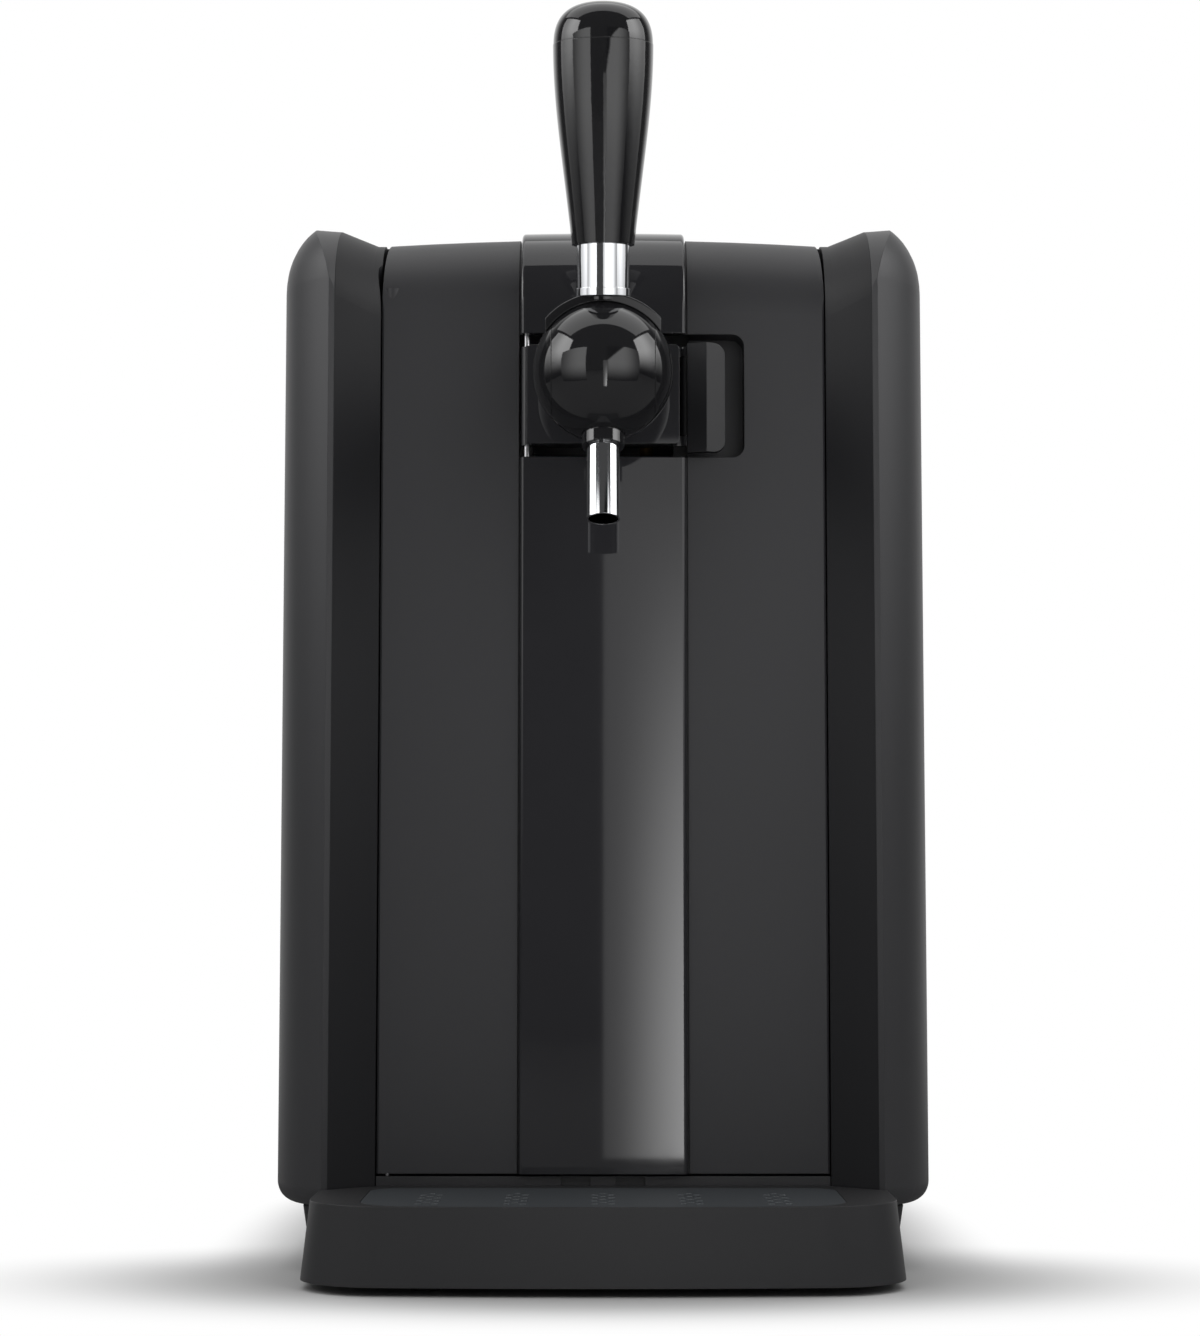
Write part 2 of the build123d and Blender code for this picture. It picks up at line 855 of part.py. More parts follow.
def make_insulation_jacket():
    """Foam jacket round the liner with a window for the cold plate and an air passage."""
    thick = jacket_thickness
    outer = extrude(
        Pos(0, 0, jacket_bottom_z) * chamber_plan(-liner_thickness - thick),
        jacket_top_z - jacket_bottom_z,
    )
    outer &= block(-150, 150, frame_rear_y, 200, jacket_bottom_z, jacket_top_z)
    outer -= extrude(
        Pos(0, 0, floor_z - liner_thickness) * chamber_plan(-liner_thickness),
        ceiling_z - floor_z + 2 * liner_thickness,
    )
    outer -= block(
        -cold_plate_half - 1, cold_plate_half + 1, chamber_centre_y + 40, 200,
        cooler_z - cold_plate_half - 1, cooler_z + cold_plate_half + 1,
    )
    return outer - pillar(nozzle_radius, nozzle_x, nozzle_y, ceiling_z, jacket_top_z + 5)


def make_keg_platform():
    """Ribbed round platform that the keg stands on."""
    radius = keg_radius - 2
    base = Pos(0, chamber_centre_y, floor_z + 1.5) * Cylinder(radius, 3)
    rib = block(30, radius - 4, chamber_centre_y - 1.5, chamber_centre_y + 1.5,
                floor_z + 2.5, floor_z + platform_height)
    for piece in ring_of(rib, platform_rib_count, (0, chamber_centre_y, 0), (0, 0, 1)):
        base += piece
    rim = Cylinder(radius, platform_height) - Cylinder(radius - 4, platform_height + 1)
    base += Pos(0, chamber_centre_y, floor_z + platform_height / 2) * rim
    hub = Cylinder(32, platform_height) - Cylinder(28, platform_height + 1)
    return base + Pos(0, chamber_centre_y, floor_z + platform_height / 2) * hub


def make_cold_plate():
    """Aluminium saddle between the round liner and the cooling element."""
    half = cold_plate_half
    plate = block(-half, half, chamber_centre_y + 50, peltier_y, cooler_z - half, cooler_z + half)
    plate -= Pos(0, chamber_centre_y, cooler_z) * Cylinder(
        chamber_radius + liner_thickness + 0.05, 3 * half
    )
    return plate


def make_peltier():
    """Cooling element with its sealing frame."""
    half = peltier_half
    return block(-half, half, peltier_y, sink_y, cooler_z - half, cooler_z + half)


def make_heat_sink():
    """Finned heat sink: base plate, comb of fins and four posts for the fan."""
    half = sink_half
    sink = block(-half, half, sink_y, sink_y + sink_base, cooler_z - half, cooler_z + half)
    pitch = (2 * half - sink_fin_thickness) / (sink_fin_count - 1)
    for step in range(sink_fin_count):
        x = -half + step * pitch
        sink += block(
            x, x + sink_fin_thickness, sink_y + sink_base, sink_y + sink_base + sink_fin_length,
            cooler_z - half, cooler_z + half,
        )
    return sink


def make_fan_frame():
    """Square fan frame with a round duct, a motor seat and four spokes."""
    half = fan_half
    frame = panel(-half, half, cooler_z - half, cooler_z + half, fan_y, fan_y + fan_depth, 5)
    frame -= rod(fan_bore_radius, (0, fan_y - 1, cooler_z), (0, fan_y + fan_depth + 1, cooler_z))
    rear = fan_y + fan_depth
    seat_y = rear - 3
    seat = rod(fan_hub_radius, (0, seat_y, cooler_z), (0, rear, cooler_z))
    spoke = block(fan_hub_radius - 2, fan_bore_radius + 1, seat_y, rear, cooler_z - 2, cooler_z + 2)
    for piece in ring_of(spoke, 4, (0, 0, cooler_z), (0, 1, 0)):
        seat += piece.rotate(Axis((0, 0, cooler_z), (0, 1, 0)), 45)
    frame += seat
    frame += rod(fan_spindle_radius, (0, fan_y + 6, cooler_z), (0, seat_y + 1, cooler_z))
    for x in (-1, 1):
        for z in (-1, 1):
            hole_x = x * (half - 5)
            hole_z = cooler_z + z * (half - 5)
            frame -= rod(2, (hole_x, fan_y - 1, hole_z), (hole_x, rear + 1, hole_z))
    return frame


def make_fan_rotor():
    """Fan rotor: hub cup and pitched blades."""
    front = fan_y + 2
    back = fan_y + fan_depth - 3 - 0.6
    hub = rod(fan_hub_radius, (0, front, cooler_z), (0, back, cooler_z))
    hub -= rod(fan_spindle_radius + pin_fit, (0, front + 3, cooler_z), (0, back + 1, cooler_z))
    blade_length = fan_bore_radius - fan_tip_gap - fan_hub_radius + 1
    blade = Box(blade_length, 2.0, 20).rotate(Axis.X, 48)
    blade = Pos(fan_hub_radius - 1 + blade_length / 2, (front + back) / 2, cooler_z) * blade
    tip = rod(fan_bore_radius - fan_tip_gap, (0, front, cooler_z), (0, back, cooler_z))
    for piece in ring_of(blade, fan_blade_count, (0, 0, cooler_z), (0, 1, 0)):
        hub += piece & tip
    return hub


def screw_places():
    """Centres of the rear cover screws in X and Z."""
    half = rear_cover_half - 9
    heights = (42.0, cooler_z - 70, cooler_z + 70, cover_split_z - 12)
    return [(side * half, height) for height in heights for side in (-1, 1)]


def make_rear_cover():
    """Rear panel with the slotted grille, the inlet opening, the switch opening and bosses."""
    half = rear_cover_half
    front = rear_y - wall
    cover = block(-half, half, front, rear_y, rear_cover_bottom_z, cover_split_z - seam)
    pitch = grille_slot_width + grille_bar_width
    for step in range(grille_slot_count):
        z = cooler_z + (step - (grille_slot_count - 1) / 2) * pitch
        reach = sqrt(max(fan_bore_radius**2 - (z - cooler_z) ** 2, 0)) - 2
        if reach > 4:
            cover -= panel(
                -reach, reach, z - grille_slot_width / 2, z + grille_slot_width / 2,
                front - 1, rear_y + 1, grille_slot_width / 2 - 0.05,
            )
    duct_y = fan_y + fan_depth + run_gap
    cover += tube(fan_half, fan_bore_radius, (0, duct_y, cooler_z), (0, front, cooler_z))
    cover -= block(
        inlet_x - inlet_width / 2, inlet_x + inlet_width / 2, front - 1, rear_y + 1,
        inlet_z - inlet_height / 2, inlet_z + inlet_height / 2,
    )
    cover -= block(
        switch_x - switch_half_width - 1, switch_x + switch_half_width + 1, front - 1, rear_y + 1,
        inlet_z - switch_half_height - 1, inlet_z + switch_half_height + 1,
    )
    for x, z in screw_places():
        cover -= rod(screw_head_radius + run_gap, (x, rear_y - screw_head_height, z), (x, rear_y + 1, z))
        cover -= rod(screw_shank_radius, (x, front - 1, z), (x, rear_y + 1, z))
    return cover


def make_panel_screws():
    """Rear cover screws: flat heads and their shanks."""
    screws = []
    for x, z in screw_places():
        seat_y = rear_y - screw_head_height
        screw = rod(screw_head_radius, (x, seat_y, z), (x, rear_y, z))
        screw += rod(screw_shank_radius, (x, rear_y - 14, z), (x, seat_y, z))
        screws.append(screw)
    return Compound(children=screws)


def plinth_plan(half):
    """Plan of the base: square front between the wings and round rear corners."""
    back = rear_y - (body_half_width - half)
    corner = rear_corner_radius
    outline = make_face(
        Polyline((-half, back), (half, back), (half, door_face_y), (-half, door_face_y), close=True)
    )
    outline = fillet(outline.vertices().sort_by(Axis.Y)[-2:], corner)
    return fillet(outline.vertices().sort_by(Axis.Y)[:2], plinth_front_corner)


def make_plinth():
    """Base pan under the body with ledge, sill strip, screw posts and tray rails."""
    half = plinth_half_width
    low = Pos(0, 0, plinth_bottom_z) * plinth_plan(half)
    high = Pos(0, 0, body_bottom_z - seam) * plinth_plan(half + plinth_flare)
    base = loft([low, high])
    hollow = extrude(
        Pos(0, 0, plinth_bottom_z + wall) * plinth_plan(half - wall - 1), body_bottom_z
    )
    base -= hollow & block(-200, 200, door_face_y + wall + 1, rear_y, 0, body_bottom_z + 1)
    inner = fairing_edge_x - run_gap
    ring = block(-inner, inner, frame_rear_y + 0.5, rear_y - wall, body_bottom_z - wall, plinth_top_z)
    ring -= block(
        -inner + wall, inner - wall, frame_rear_y + 0.5 + wall, rear_y - 2 * wall, 0, plinth_top_z + 1
    )
    base += ring
    deck = block(
        -inner, inner, frame_rear_y + 0.5, rear_y - wall, plinth_top_z - wall, plinth_top_z
    )
    base += deck
    sill_half = fairing_root_x - 0.3
    sill = block(
        -sill_half, sill_half, door_face_y + 0.6, door_face_y + 4, body_bottom_z - 4, door_bottom_z - 1
    )
    sill += block(
        -sill_half, sill_half, door_face_y + 0.6, landing_y - 0.4, body_bottom_z - 4, body_bottom_z - 1
    )
    sill -= block(
        -sill_notch_width / 2, sill_notch_width / 2, -200, door_face_y + 0.6 + sill_notch_depth,
        body_bottom_z, 60,
    )
    tongue = block(
        -sill_tongue_width / 2, sill_tongue_width / 2, door_face_y + 0.6, door_face_y + 4,
        body_bottom_z, door_bottom_z - 1,
    )
    base += sill + tongue
    for side in (-1, 1):
        x = side * rail_half_span
        rail = block(
            x - rail_width / 2, x + rail_width / 2, door_face_y - rail_reach, door_face_y + 4,
            rail_bottom_z, rail_bottom_z + rail_height,
        )
        base += rail
    base += pillar(hinge_eye_radius + 1, hinge_x, hinge_y, plinth_bottom_z + wall, door_bottom_z - 1)
    low = door_bottom_z - door_pin_depth
    return base - pillar(hinge_pin_radius, hinge_x, hinge_y, low, door_bottom_z)


def make_feet():
    """Rubber feet: four under the body and two under the tray rails."""
    feet = []
    x = plinth_half_width - foot_inset
    for side in (-1, 1):
        for y in (door_face_y + foot_inset, rear_y - foot_inset - 10):
            feet.append(pillar(foot_radius, side * x, y, 0, plinth_bottom_z))
        y = door_face_y - rail_reach + rail_width / 2
        feet.append(pillar(rail_width / 2 - 0.5, side * rail_half_span, y, 0, rail_bottom_z))
    return Compound(children=feet)


def make_door_pin():
    """Lower hinge pin of the door, held in the post of the base."""
    low = door_bottom_z - door_pin_depth
    return pillar(hinge_pin_radius, hinge_x, hinge_y, low, door_bottom_z + door_pin_reach - 1)


def make_hinge_ear():
    """Upper hinge: a curved ear from the left jamb to the pin, with the pin in its eye."""
    z0 = hinge_ear_z
    z1 = hinge_ear_z + hinge_ear_height
    ear = rod(hinge_eye_radius, (hinge_x, hinge_y, z0), (hinge_x, hinge_y, z1))
    root_x = -fairing_root_x
    ear += upright(
        [
            (hinge_x - 1.2, hinge_y + 1.0),
            (hinge_x + 1.2, hinge_y + 1.6),
            (root_x + 1.8, hinge_y + 15),
            (root_x, hinge_y + 24),
            (root_x, hinge_y + 11),
        ],
        z0,
        z1,
    )
    ear += rod(hinge_pin_radius, (hinge_x, hinge_y, z0 - 6), (hinge_x, hinge_y, z1 + 6))
    return ear


def tray_plan(half, inset):
    """Plan of the drip tray: bowed front, round front corners, cut back beside the fairings."""
    half = half - inset
    front = tray_front_y + inset
    rear = tray_rear_y - inset
    neck = fairing_root_x - tray_side_gap - inset
    slope = -fairing_run.Y / fairing_run.X
    shift = inset * hypot(1, slope)
    neck_y = tray_shoulder_y + (fairing_edge_x - neck) * slope - shift
    shoulder = tray_shoulder_y + (fairing_edge_x - half) * slope - shift
    outline = ThreePointArc((-half, front + tray_front_bow), (0, front), (half, front + tray_front_bow))
    outline += Polyline(
        (half, front + tray_front_bow), (half, shoulder), (neck, neck_y), (neck, rear),
        (-neck, rear), (-neck, neck_y), (-half, shoulder), (-half, front + tray_front_bow),
    )
    face = make_face(outline)
    corners = face.vertices().sort_by(Axis.Y)[:2]
    return fillet(corners, tray_corner_radius - inset)


def cover_plan(offset):
    """Plan of the lift-out drip cover, grown outward by an offset."""
    half = cover_half_width + offset
    front = tray_front_y + cover_front_rim - offset
    rear = tray_front_y + cover_front_rim + cover_depth + offset
    bow = tray_front_bow * 0.8
    outline = ThreePointArc((-half, front + bow), (0, front), (half, front + bow))
    outline += Polyline((half, front + bow), (half, rear), (-half, rear), (-half, front + bow))
    face = make_face(outline)
    face = fillet(face.vertices().sort_by(Axis.Y)[-2:], cover_corner_radius + offset)
    return fillet(face.vertices().sort_by(Axis.Y)[:2], cover_front_radius + offset)


def make_drip_tray():
    """Drip tray moulding: skirt, deck, basin under the cover and notches for the rails."""
    low = Pos(0, 0, tray_bottom_z) * tray_plan(tray_half_width_bottom, 0)
    high = Pos(0, 0, tray_top_z) * tray_plan(tray_half_width_top, 0)
    tray = loft([low, high])
    deck_z = tray_top_z - cover_thickness
    basin_wall = extrude(
        Pos(0, 0, tray_floor_z - tray_wall) * cover_plan(tray_wall - cover_ledge), 60
    )
    basin_wall += Pos(0, -2 * tray_wall, 0) * basin_wall
    hollow = extrude(
        Pos(0, 0, tray_bottom_z - 1) * tray_plan(tray_half_width_top, tray_wall),
        deck_z - tray_wall - tray_bottom_z + 1,
    )
    tray -= hollow - basin_wall
    tray -= extrude(Pos(0, 0, tray_floor_z) * cover_plan(-cover_ledge), 60)
    tray -= extrude(Pos(0, 0, deck_z) * cover_plan(run_gap), 60)
    for side in (-1, 1):
        x = side * rail_half_span
        notch_half = rail_width / 2 + rail_side_gap
        tray -= block(
            x - notch_half, x + notch_half, tray_rear_y - tray_wall - 3, tray_rear_y + 1,
            0, rail_bottom_z + rail_height + rail_top_gap,
        )
    return tray


def make_drip_cover():
    """Lift-out cover with five groups of drain holes in staggered rows."""
    low = tray_top_z - cover_thickness
    cover = extrude(Pos(0, 0, low + run_gap) * cover_plan(0), cover_thickness - run_gap)
    holes = []
    for group in range(-2, 3):
        for row in range(drain_rows):
            y = tray_front_y + 14 + row * drain_hole_pitch
            count = 2 if row % 2 == 0 else 1
            for step in range(count):
                x = group * drain_group_pitch + (step - (count - 1) / 2) * drain_hole_pitch
                holes.append(Pos(x, y, low + 1) * Cylinder(drain_hole_radius, 8))
    return cover - holes


def spout_point(distance):
    """Point on the spout axis at a distance above its lower end."""
    lean = radians(spout_lean)
    return (0, spout_end_y + distance * sin(lean), spout_end_z + distance * cos(lean))


def tube_path(rear_y_place):
    """Route of the beer tube: level through the neck, one bend, then down the spout axis."""
    corner = spout_point((tube_z - spout_end_z) / cos(radians(spout_lean)))
    lower = spout_point(spout_length + collar_nut_height)
    return FilletPolyline((0, rear_y_place, tube_z), corner, lower, radius=tube_bend)


def make_pinch_tube():
    """Flexible beer tube from the rear of the tap to the spout."""
    path = tube_path(tube_rear_y)
    ring = Circle(tube_radius) - Circle(tube_radius - tube_wall)
    return sweep(Plane(origin=path @ 0, z_dir=path % 0) * ring, path)


def ball(radius):
    """Sphere about the tap centre."""
    return Pos(0, ball_y, ball_z) * Sphere(radius)


def sector(start, end, reach, half_width):
    """Wedge about the X axis between two angles counted upward from the front."""
    points = [(0, 0)]
    for angle in (start, (start + end) / 2, end):
        turn = radians(angle)
        points.append((-reach * cos(turn), reach * sin(turn)))
    return extrude(Plane.YZ * make_face(Polyline(*points, close=True)), half_width, both=True)


def on_handle(piece):
    """Set a piece made upright about the origin on the tap axle, tipped forward with the handle."""
    return Pos(0, ball_y, ball_z) * Rot(handle_lean, 0, 0) * piece


def make_tap_plate():
    """Front plate of the tap door with its skirt and hinge knuckles."""
    front = door_face_y - tap_plate_proud
    low = tap_plate_bottom_z
    high = tap_plate_top_z
    half = tap_plate_half_width
    plate = panel(-half, half, low, high, front, front + tap_plate_thickness + 4, 2)
    plate -= panel(-half + 2, half - 2, low + 2, high - 2, front + tap_plate_thickness, front + 20, 1)
    plate -= rod(neck_radius, (0, front - 1, ball_z), (0, front + tap_plate_thickness + 1, ball_z))
    plate -= rod(tube_radius, (0, front - 1, tube_z), (0, front + 20, tube_z))
    knuckle = pillar(tap_pin_radius + knuckle_wall, tap_pin_x, tap_pin_y, low, high)
    knuckle += block(tap_pin_x, tap_pin_x + 4, front + tap_plate_thickness, tap_pin_y + 1.5, low, high)
    plate = plate + knuckle - pillar(tap_pin_radius + pin_fit, tap_pin_x, tap_pin_y, low - 1, high + 1)
    ear = pillar(lever_pin_radius + knuckle_wall, lever_pin_x, lever_pin_y, 0, lever_ear_height)
    ear += block(
        half - 4, lever_pin_x, lever_pin_y - knuckle_wall, lever_pin_y + knuckle_wall, 0, lever_ear_height
    )
    for z in (low, high - lever_ear_height):
        plate += Pos(0, 0, z) * ear
    return plate - pillar(lever_pin_radius, lever_pin_x, lever_pin_y, low - 1, high + 1)


def make_tap_body():
    """Tap body: housing, neck and the middle slice of the ball with its crank slot and bores."""
    front = door_face_y - tap_plate_proud + tap_plate_thickness
    back = front + tap_housing_depth
    body = panel(
        -tap_housing_half_width, tap_housing_half_width,
        tap_plate_bottom_z + 2.2, tap_plate_top_z - 2.2, front, back, 3,
    )
    slice_half = ball_seam_x - 0.1
    middle = ball(ball_radius) & block(-slice_half, slice_half, -250, front - 3, 300, 400)
    neck = rod(neck_radius, (0, front + 1, ball_z), (0, ball_y + 10, ball_z))
    body = body + neck + middle
    slot_half = crank_width / 2 + run_gap
    body -= Pos(0, ball_y, ball_z) * sector(
        crank_angle - handle_turn - crank_half_angle - crank_slot_margin,
        crank_angle + crank_half_angle + crank_slot_margin,
        ball_radius + 5,
        slot_half,
    )
    eye = axle_radius + crank_eye_wall + run_gap
    body -= rod(eye, (-slot_half, ball_y, ball_z), (slot_half, ball_y, ball_z))
    body -= rod(axle_radius, (-30, ball_y, ball_z), (30, ball_y, ball_z))
    path = tube_path(tube_rear_y + 15)
    body -= sweep(Plane(origin=path @ 0, z_dir=path % 0) * Circle(tube_radius), path)
    body -= rod(collar_nut_radius, spout_point(spout_length - 3),
                spout_point(spout_length + collar_nut_height))
    body -= rod(plunger_radius + run_gap, (0, plunger_y, tube_z), (0, plunger_y, spring_top_z))
    return body


def make_ball_cap(side):
    """Glossy side cap of the ball."""
    outer = block(ball_seam_x, ball_radius + 1, -250, -100, 300, 400)
    cap = ball(ball_radius).rotate(Axis((0, ball_y, ball_z), (0, 1, 0)), 90) & outer
    cap -= rod(axle_radius, (0, ball_y, ball_z), (axle_half_length, ball_y, ball_z))
    return cap if side > 0 else mirror(cap, Plane.YZ)


def make_axle():
    """Steel axle of the tap handle."""
    return rod(axle_radius, (-axle_half_length, ball_y, ball_z), (axle_half_length, ball_y, ball_z))


def make_spout():
    """Polished spout pipe, leaning forward."""
    pipe = tube(spout_radius, spout_bore_radius, spout_point(0), spout_point(spout_length + 3))
    return pipe


def make_spout_nut():
    """Small nut that holds the spout in the tap body."""
    return tube(
        collar_nut_radius, spout_radius, spout_point(spout_length - 1),
        spout_point(spout_length + collar_nut_height),
    ) + tube(
        collar_nut_radius, tube_radius, spout_point(spout_length + 3),
        spout_point(spout_length + collar_nut_height),
    )


def make_hood():
    """Handle hood over the ball, with the crank arm and its eye inside the slot."""
    inner = ball_radius + hood_gap
    hood = Sphere(hood_radius) - Sphere(inner)
    hood &= block(
        -hood_half_width, hood_half_width, -hood_front_reach, hood_radius, -hood_radius, hood_radius
    )
    hood &= sector(0, hood_rear_angle, 2 * hood_radius, hood_half_width)
    rims = [edge for edge in hood.edges() if edge.center().length > 0.8 * hood_radius]
    rims = [edge for edge in rims if abs((edge @ 0.5).length - hood_radius) < 0.01]
    hood = fillet(rims, hood_edge_radius)
    crank = crank_angle + handle_lean
    arm = sector(
        crank - crank_half_angle, crank + crank_half_angle, inner + hood_thickness / 2, crank_width / 2
    )
    eye = rod(axle_radius + crank_eye_wall, (-crank_width / 2, 0, 0), (crank_width / 2, 0, 0))
    seat = rod(collar_radius - collar_wall, (0, 0, ball_radius), (0, 0, hood_radius + 1))
    hood = hood + arm + eye + (seat - Sphere(inner))
    hood -= rod(axle_radius + pin_fit, (-crank_width, 0, 0), (crank_width, 0, 0))
    return on_handle(hood)


def make_collar():
    """Polished collar between the hood and the grip, with a foot flange."""
    foot = hood_radius - 4
    collar = rod(collar_radius, (0, 0, foot), (0, 0, collar_reach))
    collar += rod(collar_radius + collar_flange, (0, 0, foot), (0, 0, hood_radius + 1))
    collar -= Sphere(hood_radius)
    collar -= rod(collar_radius - collar_wall, (0, 0, 0), (0, 0, hood_radius + 1))
    return on_handle(collar)


def make_grip():
    """Tapered grip, widening towards the top."""
    side = Bezier(
        (grip_bottom_radius, collar_reach),
        (grip_bottom_radius + 3.6, collar_reach + 33),
        (grip_radius, grip_reach - grip_crown_pull),
        (grip_radius, grip_reach),
    )
    outline = side + Polyline(
        (grip_radius, grip_reach), (0, grip_reach), (0, collar_reach), (grip_bottom_radius, collar_reach)
    )
    return on_handle(revolve(Plane.XZ * make_face(outline), Axis.Z))


def make_grip_cap():
    """Domed cap on top of the grip, set in by a fine step."""
    radius = grip_radius - cap_step
    top = Bezier(
        (radius, grip_reach),
        (radius, grip_reach + cap_side_pull),
        (grip_radius * cap_top_share, handle_reach),
        (0, handle_reach),
    )
    outline = top + Polyline((0, handle_reach), (0, grip_reach), (radius, grip_reach))
    return on_handle(revolve(Plane.XZ * make_face(outline), Axis.Z))


def make_lever():
    """Release lever: two facets, rounded outer corners, knuckle and latch nose."""
    face_y = door_face_y - lever_proud
    peak_y = face_y - lever_facet_lift
    plan = upright(
        [
            (lever_left_x, face_y), (lever_facet_x, peak_y), (lever_right_x, face_y + 0.5),
            (lever_right_x, face_y + 0.5 + lever_thickness),
            (lever_facet_x, peak_y + lever_thickness + 0.5), (lever_left_x, face_y + lever_thickness),
        ],
        lever_bottom_z,
        lever_top_z,
    )
    outline = panel(
        lever_left_x - 30, lever_right_x, lever_bottom_z, lever_top_z, -150, -100, lever_corner_radius
    )
    lever = plan & outline
    low = tap_plate_bottom_z + lever_ear_height + run_gap
    high = tap_plate_top_z - lever_ear_height - run_gap
    knuckle = pillar(lever_pin_radius + knuckle_wall, lever_pin_x, lever_pin_y, low, high)
    knuckle += block(lever_pin_x, lever_left_x + 3, face_y + 1.5, lever_pin_y + 1.5, low, high)
    lever += knuckle
    middle = (lever_bottom_z + lever_top_z) / 2
    lever += block(
        lever_facet_x + 1, lever_facet_x + 3, peak_y + 1.5, lever_pin_y + 6,
        middle - lever_nose_half, middle + lever_nose_half,
    )
    return lever - pillar(lever_pin_radius + pin_fit, lever_pin_x, lever_pin_y, low - 1, high + 1)


def make_lever_pin():
    """Pin of the release lever."""
    return pillar(lever_pin_radius, lever_pin_x, lever_pin_y, tap_plate_bottom_z, tap_plate_top_z)


def make_tap_pin():
    """Hinge pin of the tap door, held in two bosses of the door moulding."""
    low = tap_opening_bottom_z - tap_boss_height
    return pillar(tap_pin_radius, tap_pin_x, tap_pin_y, low, tap_opening_top_z + tap_boss_height)


def make_plunger():
    """Pinch plunger above the beer tube."""
    top = tube_z + tube_radius + run_gap + 7
    plunger = rod(plunger_radius, (0, plunger_y, tube_z + tube_radius + run_gap), (0, plunger_y, top))
    return plunger


def make_plunger_spring():
    """Coil spring above the plunger, as the sleeve that its turns fill."""
    top = tube_z + tube_radius + run_gap + 7
    return tube(plunger_radius - 0.4, plunger_radius - 1.4, (0, plunger_y, top + 0.3),
                (0, plunger_y, spring_top_z - 0.1))


def make_inlet():
    """Appliance inlet with three flat pins in its socket."""
    half_w = inlet_width / 2 - 0.2
    half_h = inlet_height / 2 - 0.2
    body = block(
        inlet_x - half_w, inlet_x + half_w, rear_y - inlet_depth, rear_y, inlet_z - half_h, inlet_z + half_h
    )
    body += block(
        inlet_x - half_w - 4, inlet_x + half_w + 4, rear_y - wall - 2, rear_y - wall,
        inlet_z - half_h - 2, inlet_z + half_h + 2,
    )
    body -= block(
        inlet_x - socket_width / 2, inlet_x + socket_width / 2, rear_y - socket_depth, rear_y + 1,
        inlet_z - socket_height / 2, inlet_z + socket_height / 2,
    )
    for x, z in ((-7, -2), (7, -2), (0, 2)):
        body += block(
            inlet_x + x - 1, inlet_x + x + 1, rear_y - socket_depth - 1, rear_y - 3,
            inlet_z + z - 2, inlet_z + z + 2,
        )
    return body


def make_switch_frame():
    """Frame of the power switch with a round seat for the rocker."""
    half_w = switch_half_width + 0.8
    half_h = switch_half_height + 0.8
    frame = block(switch_x - half_w, switch_x + half_w, rear_y - 20, rear_y,
                  inlet_z - half_h, inlet_z + half_h)
    frame += block(switch_x - half_w - 2, switch_x + half_w + 2, rear_y - wall - 2, rear_y - wall,
                   inlet_z - half_h - 2, inlet_z + half_h + 2)
    seat = rocker_radius + run_gap
    inner = switch_inner_half
    centre = (rear_y - rocker_depth, inlet_z)
    frame -= rod(seat, (switch_x - inner, *centre), (switch_x + inner, *centre))
    frame -= rod(rocker_pin_radius, (switch_x - half_w + 0.2, *centre), (switch_x + half_w - 0.2, *centre))
    return frame - block(
        switch_x - inner, switch_x + inner, rear_y - rocker_depth, rear_y + 1, inlet_z - seat, inlet_z + seat
    )


def make_rocker():
    """Two-way rocker of the power switch with its trunnions."""
    centre = (rear_y - rocker_depth, inlet_z)
    inner = switch_inner_half - run_gap
    rocker = rod(rocker_radius, (switch_x - inner, *centre), (switch_x + inner, *centre))
    pin_half = inner + 1.0
    rocker += rod(rocker_pin_radius - pin_fit, (switch_x - pin_half, *centre), (switch_x + pin_half, *centre))
    keep = Plane.YZ * make_face(
        Polyline(
            (rear_y - 30, inlet_z - 20), (rear_y - 0.6 + 2.4, inlet_z - 20), (rear_y - 2.6, inlet_z),
            (rear_y - 0.6 + 2.4, inlet_z + 20), (rear_y - 30, inlet_z + 20), close=True,
        )
    )
    return rocker & extrude(keep, 80, both=True)


def make_supply_board():
    """Power supply board with transformer, capacitors and a finned regulator cooler."""
    top = supply_board_z
    x0, x1, y0, y1 = -8, 92, 118, 204
    board = block(x0, x1, y0, y1, top - 1.6, top)
    board += block(x0 + 34, x0 + 66, y0 + 10, y0 + 38, top, top + 28)
    board += block(x0 + 6, x0 + 24, y0 + 50, y0 + 76, top, top + 18)
    for step in range(3):
        x = x0 + 14
        y = y0 + 12 + 14 * step
        board += rod(5.5, (x, y, top), (x, y, top + 22))
    for step in range(5):
        y = y0 + 52 + 6 * step
        board += block(x0 + 74, x0 + 94, y, y + 1.6, top, top + 30)
    board += block(x0 + 82, x0 + 86, y0 + 52, y0 + 76, top, top + 30)
    for x in (x0 + 4, x1 - 4):
        for y in (y0 + 4, y1 - 4):
            board += rod(3, (x, y, plinth_top_z), (x, y, top - 1.6))
    return board


def make_pump_motor():
    """Air pump motor lying on the jacket."""
    y = nozzle_y
    rear_x = pump_head_x - pump_length
    motor = rod(pump_radius, (rear_x, y, pump_z), (pump_head_x, y, pump_z))
    motor += rod(4, (rear_x - 3, y, pump_z), (rear_x, y, pump_z))
    return motor + block(rear_x + 6, pump_head_x - 6, y - 8, y + 8, jacket_top_z, pump_z - 5)


def make_pump_head():
    """Diaphragm head of the air pump with its outlet barb."""
    y = nozzle_y
    end_x = pump_head_x + pump_head_length
    half = pump_radius + 2
    head = block(pump_head_x, end_x, y - half, y + half, jacket_top_z, pump_z + half)
    return head + rod(barb_radius, (end_x, y, hose_z), (end_x + 8, y, hose_z))


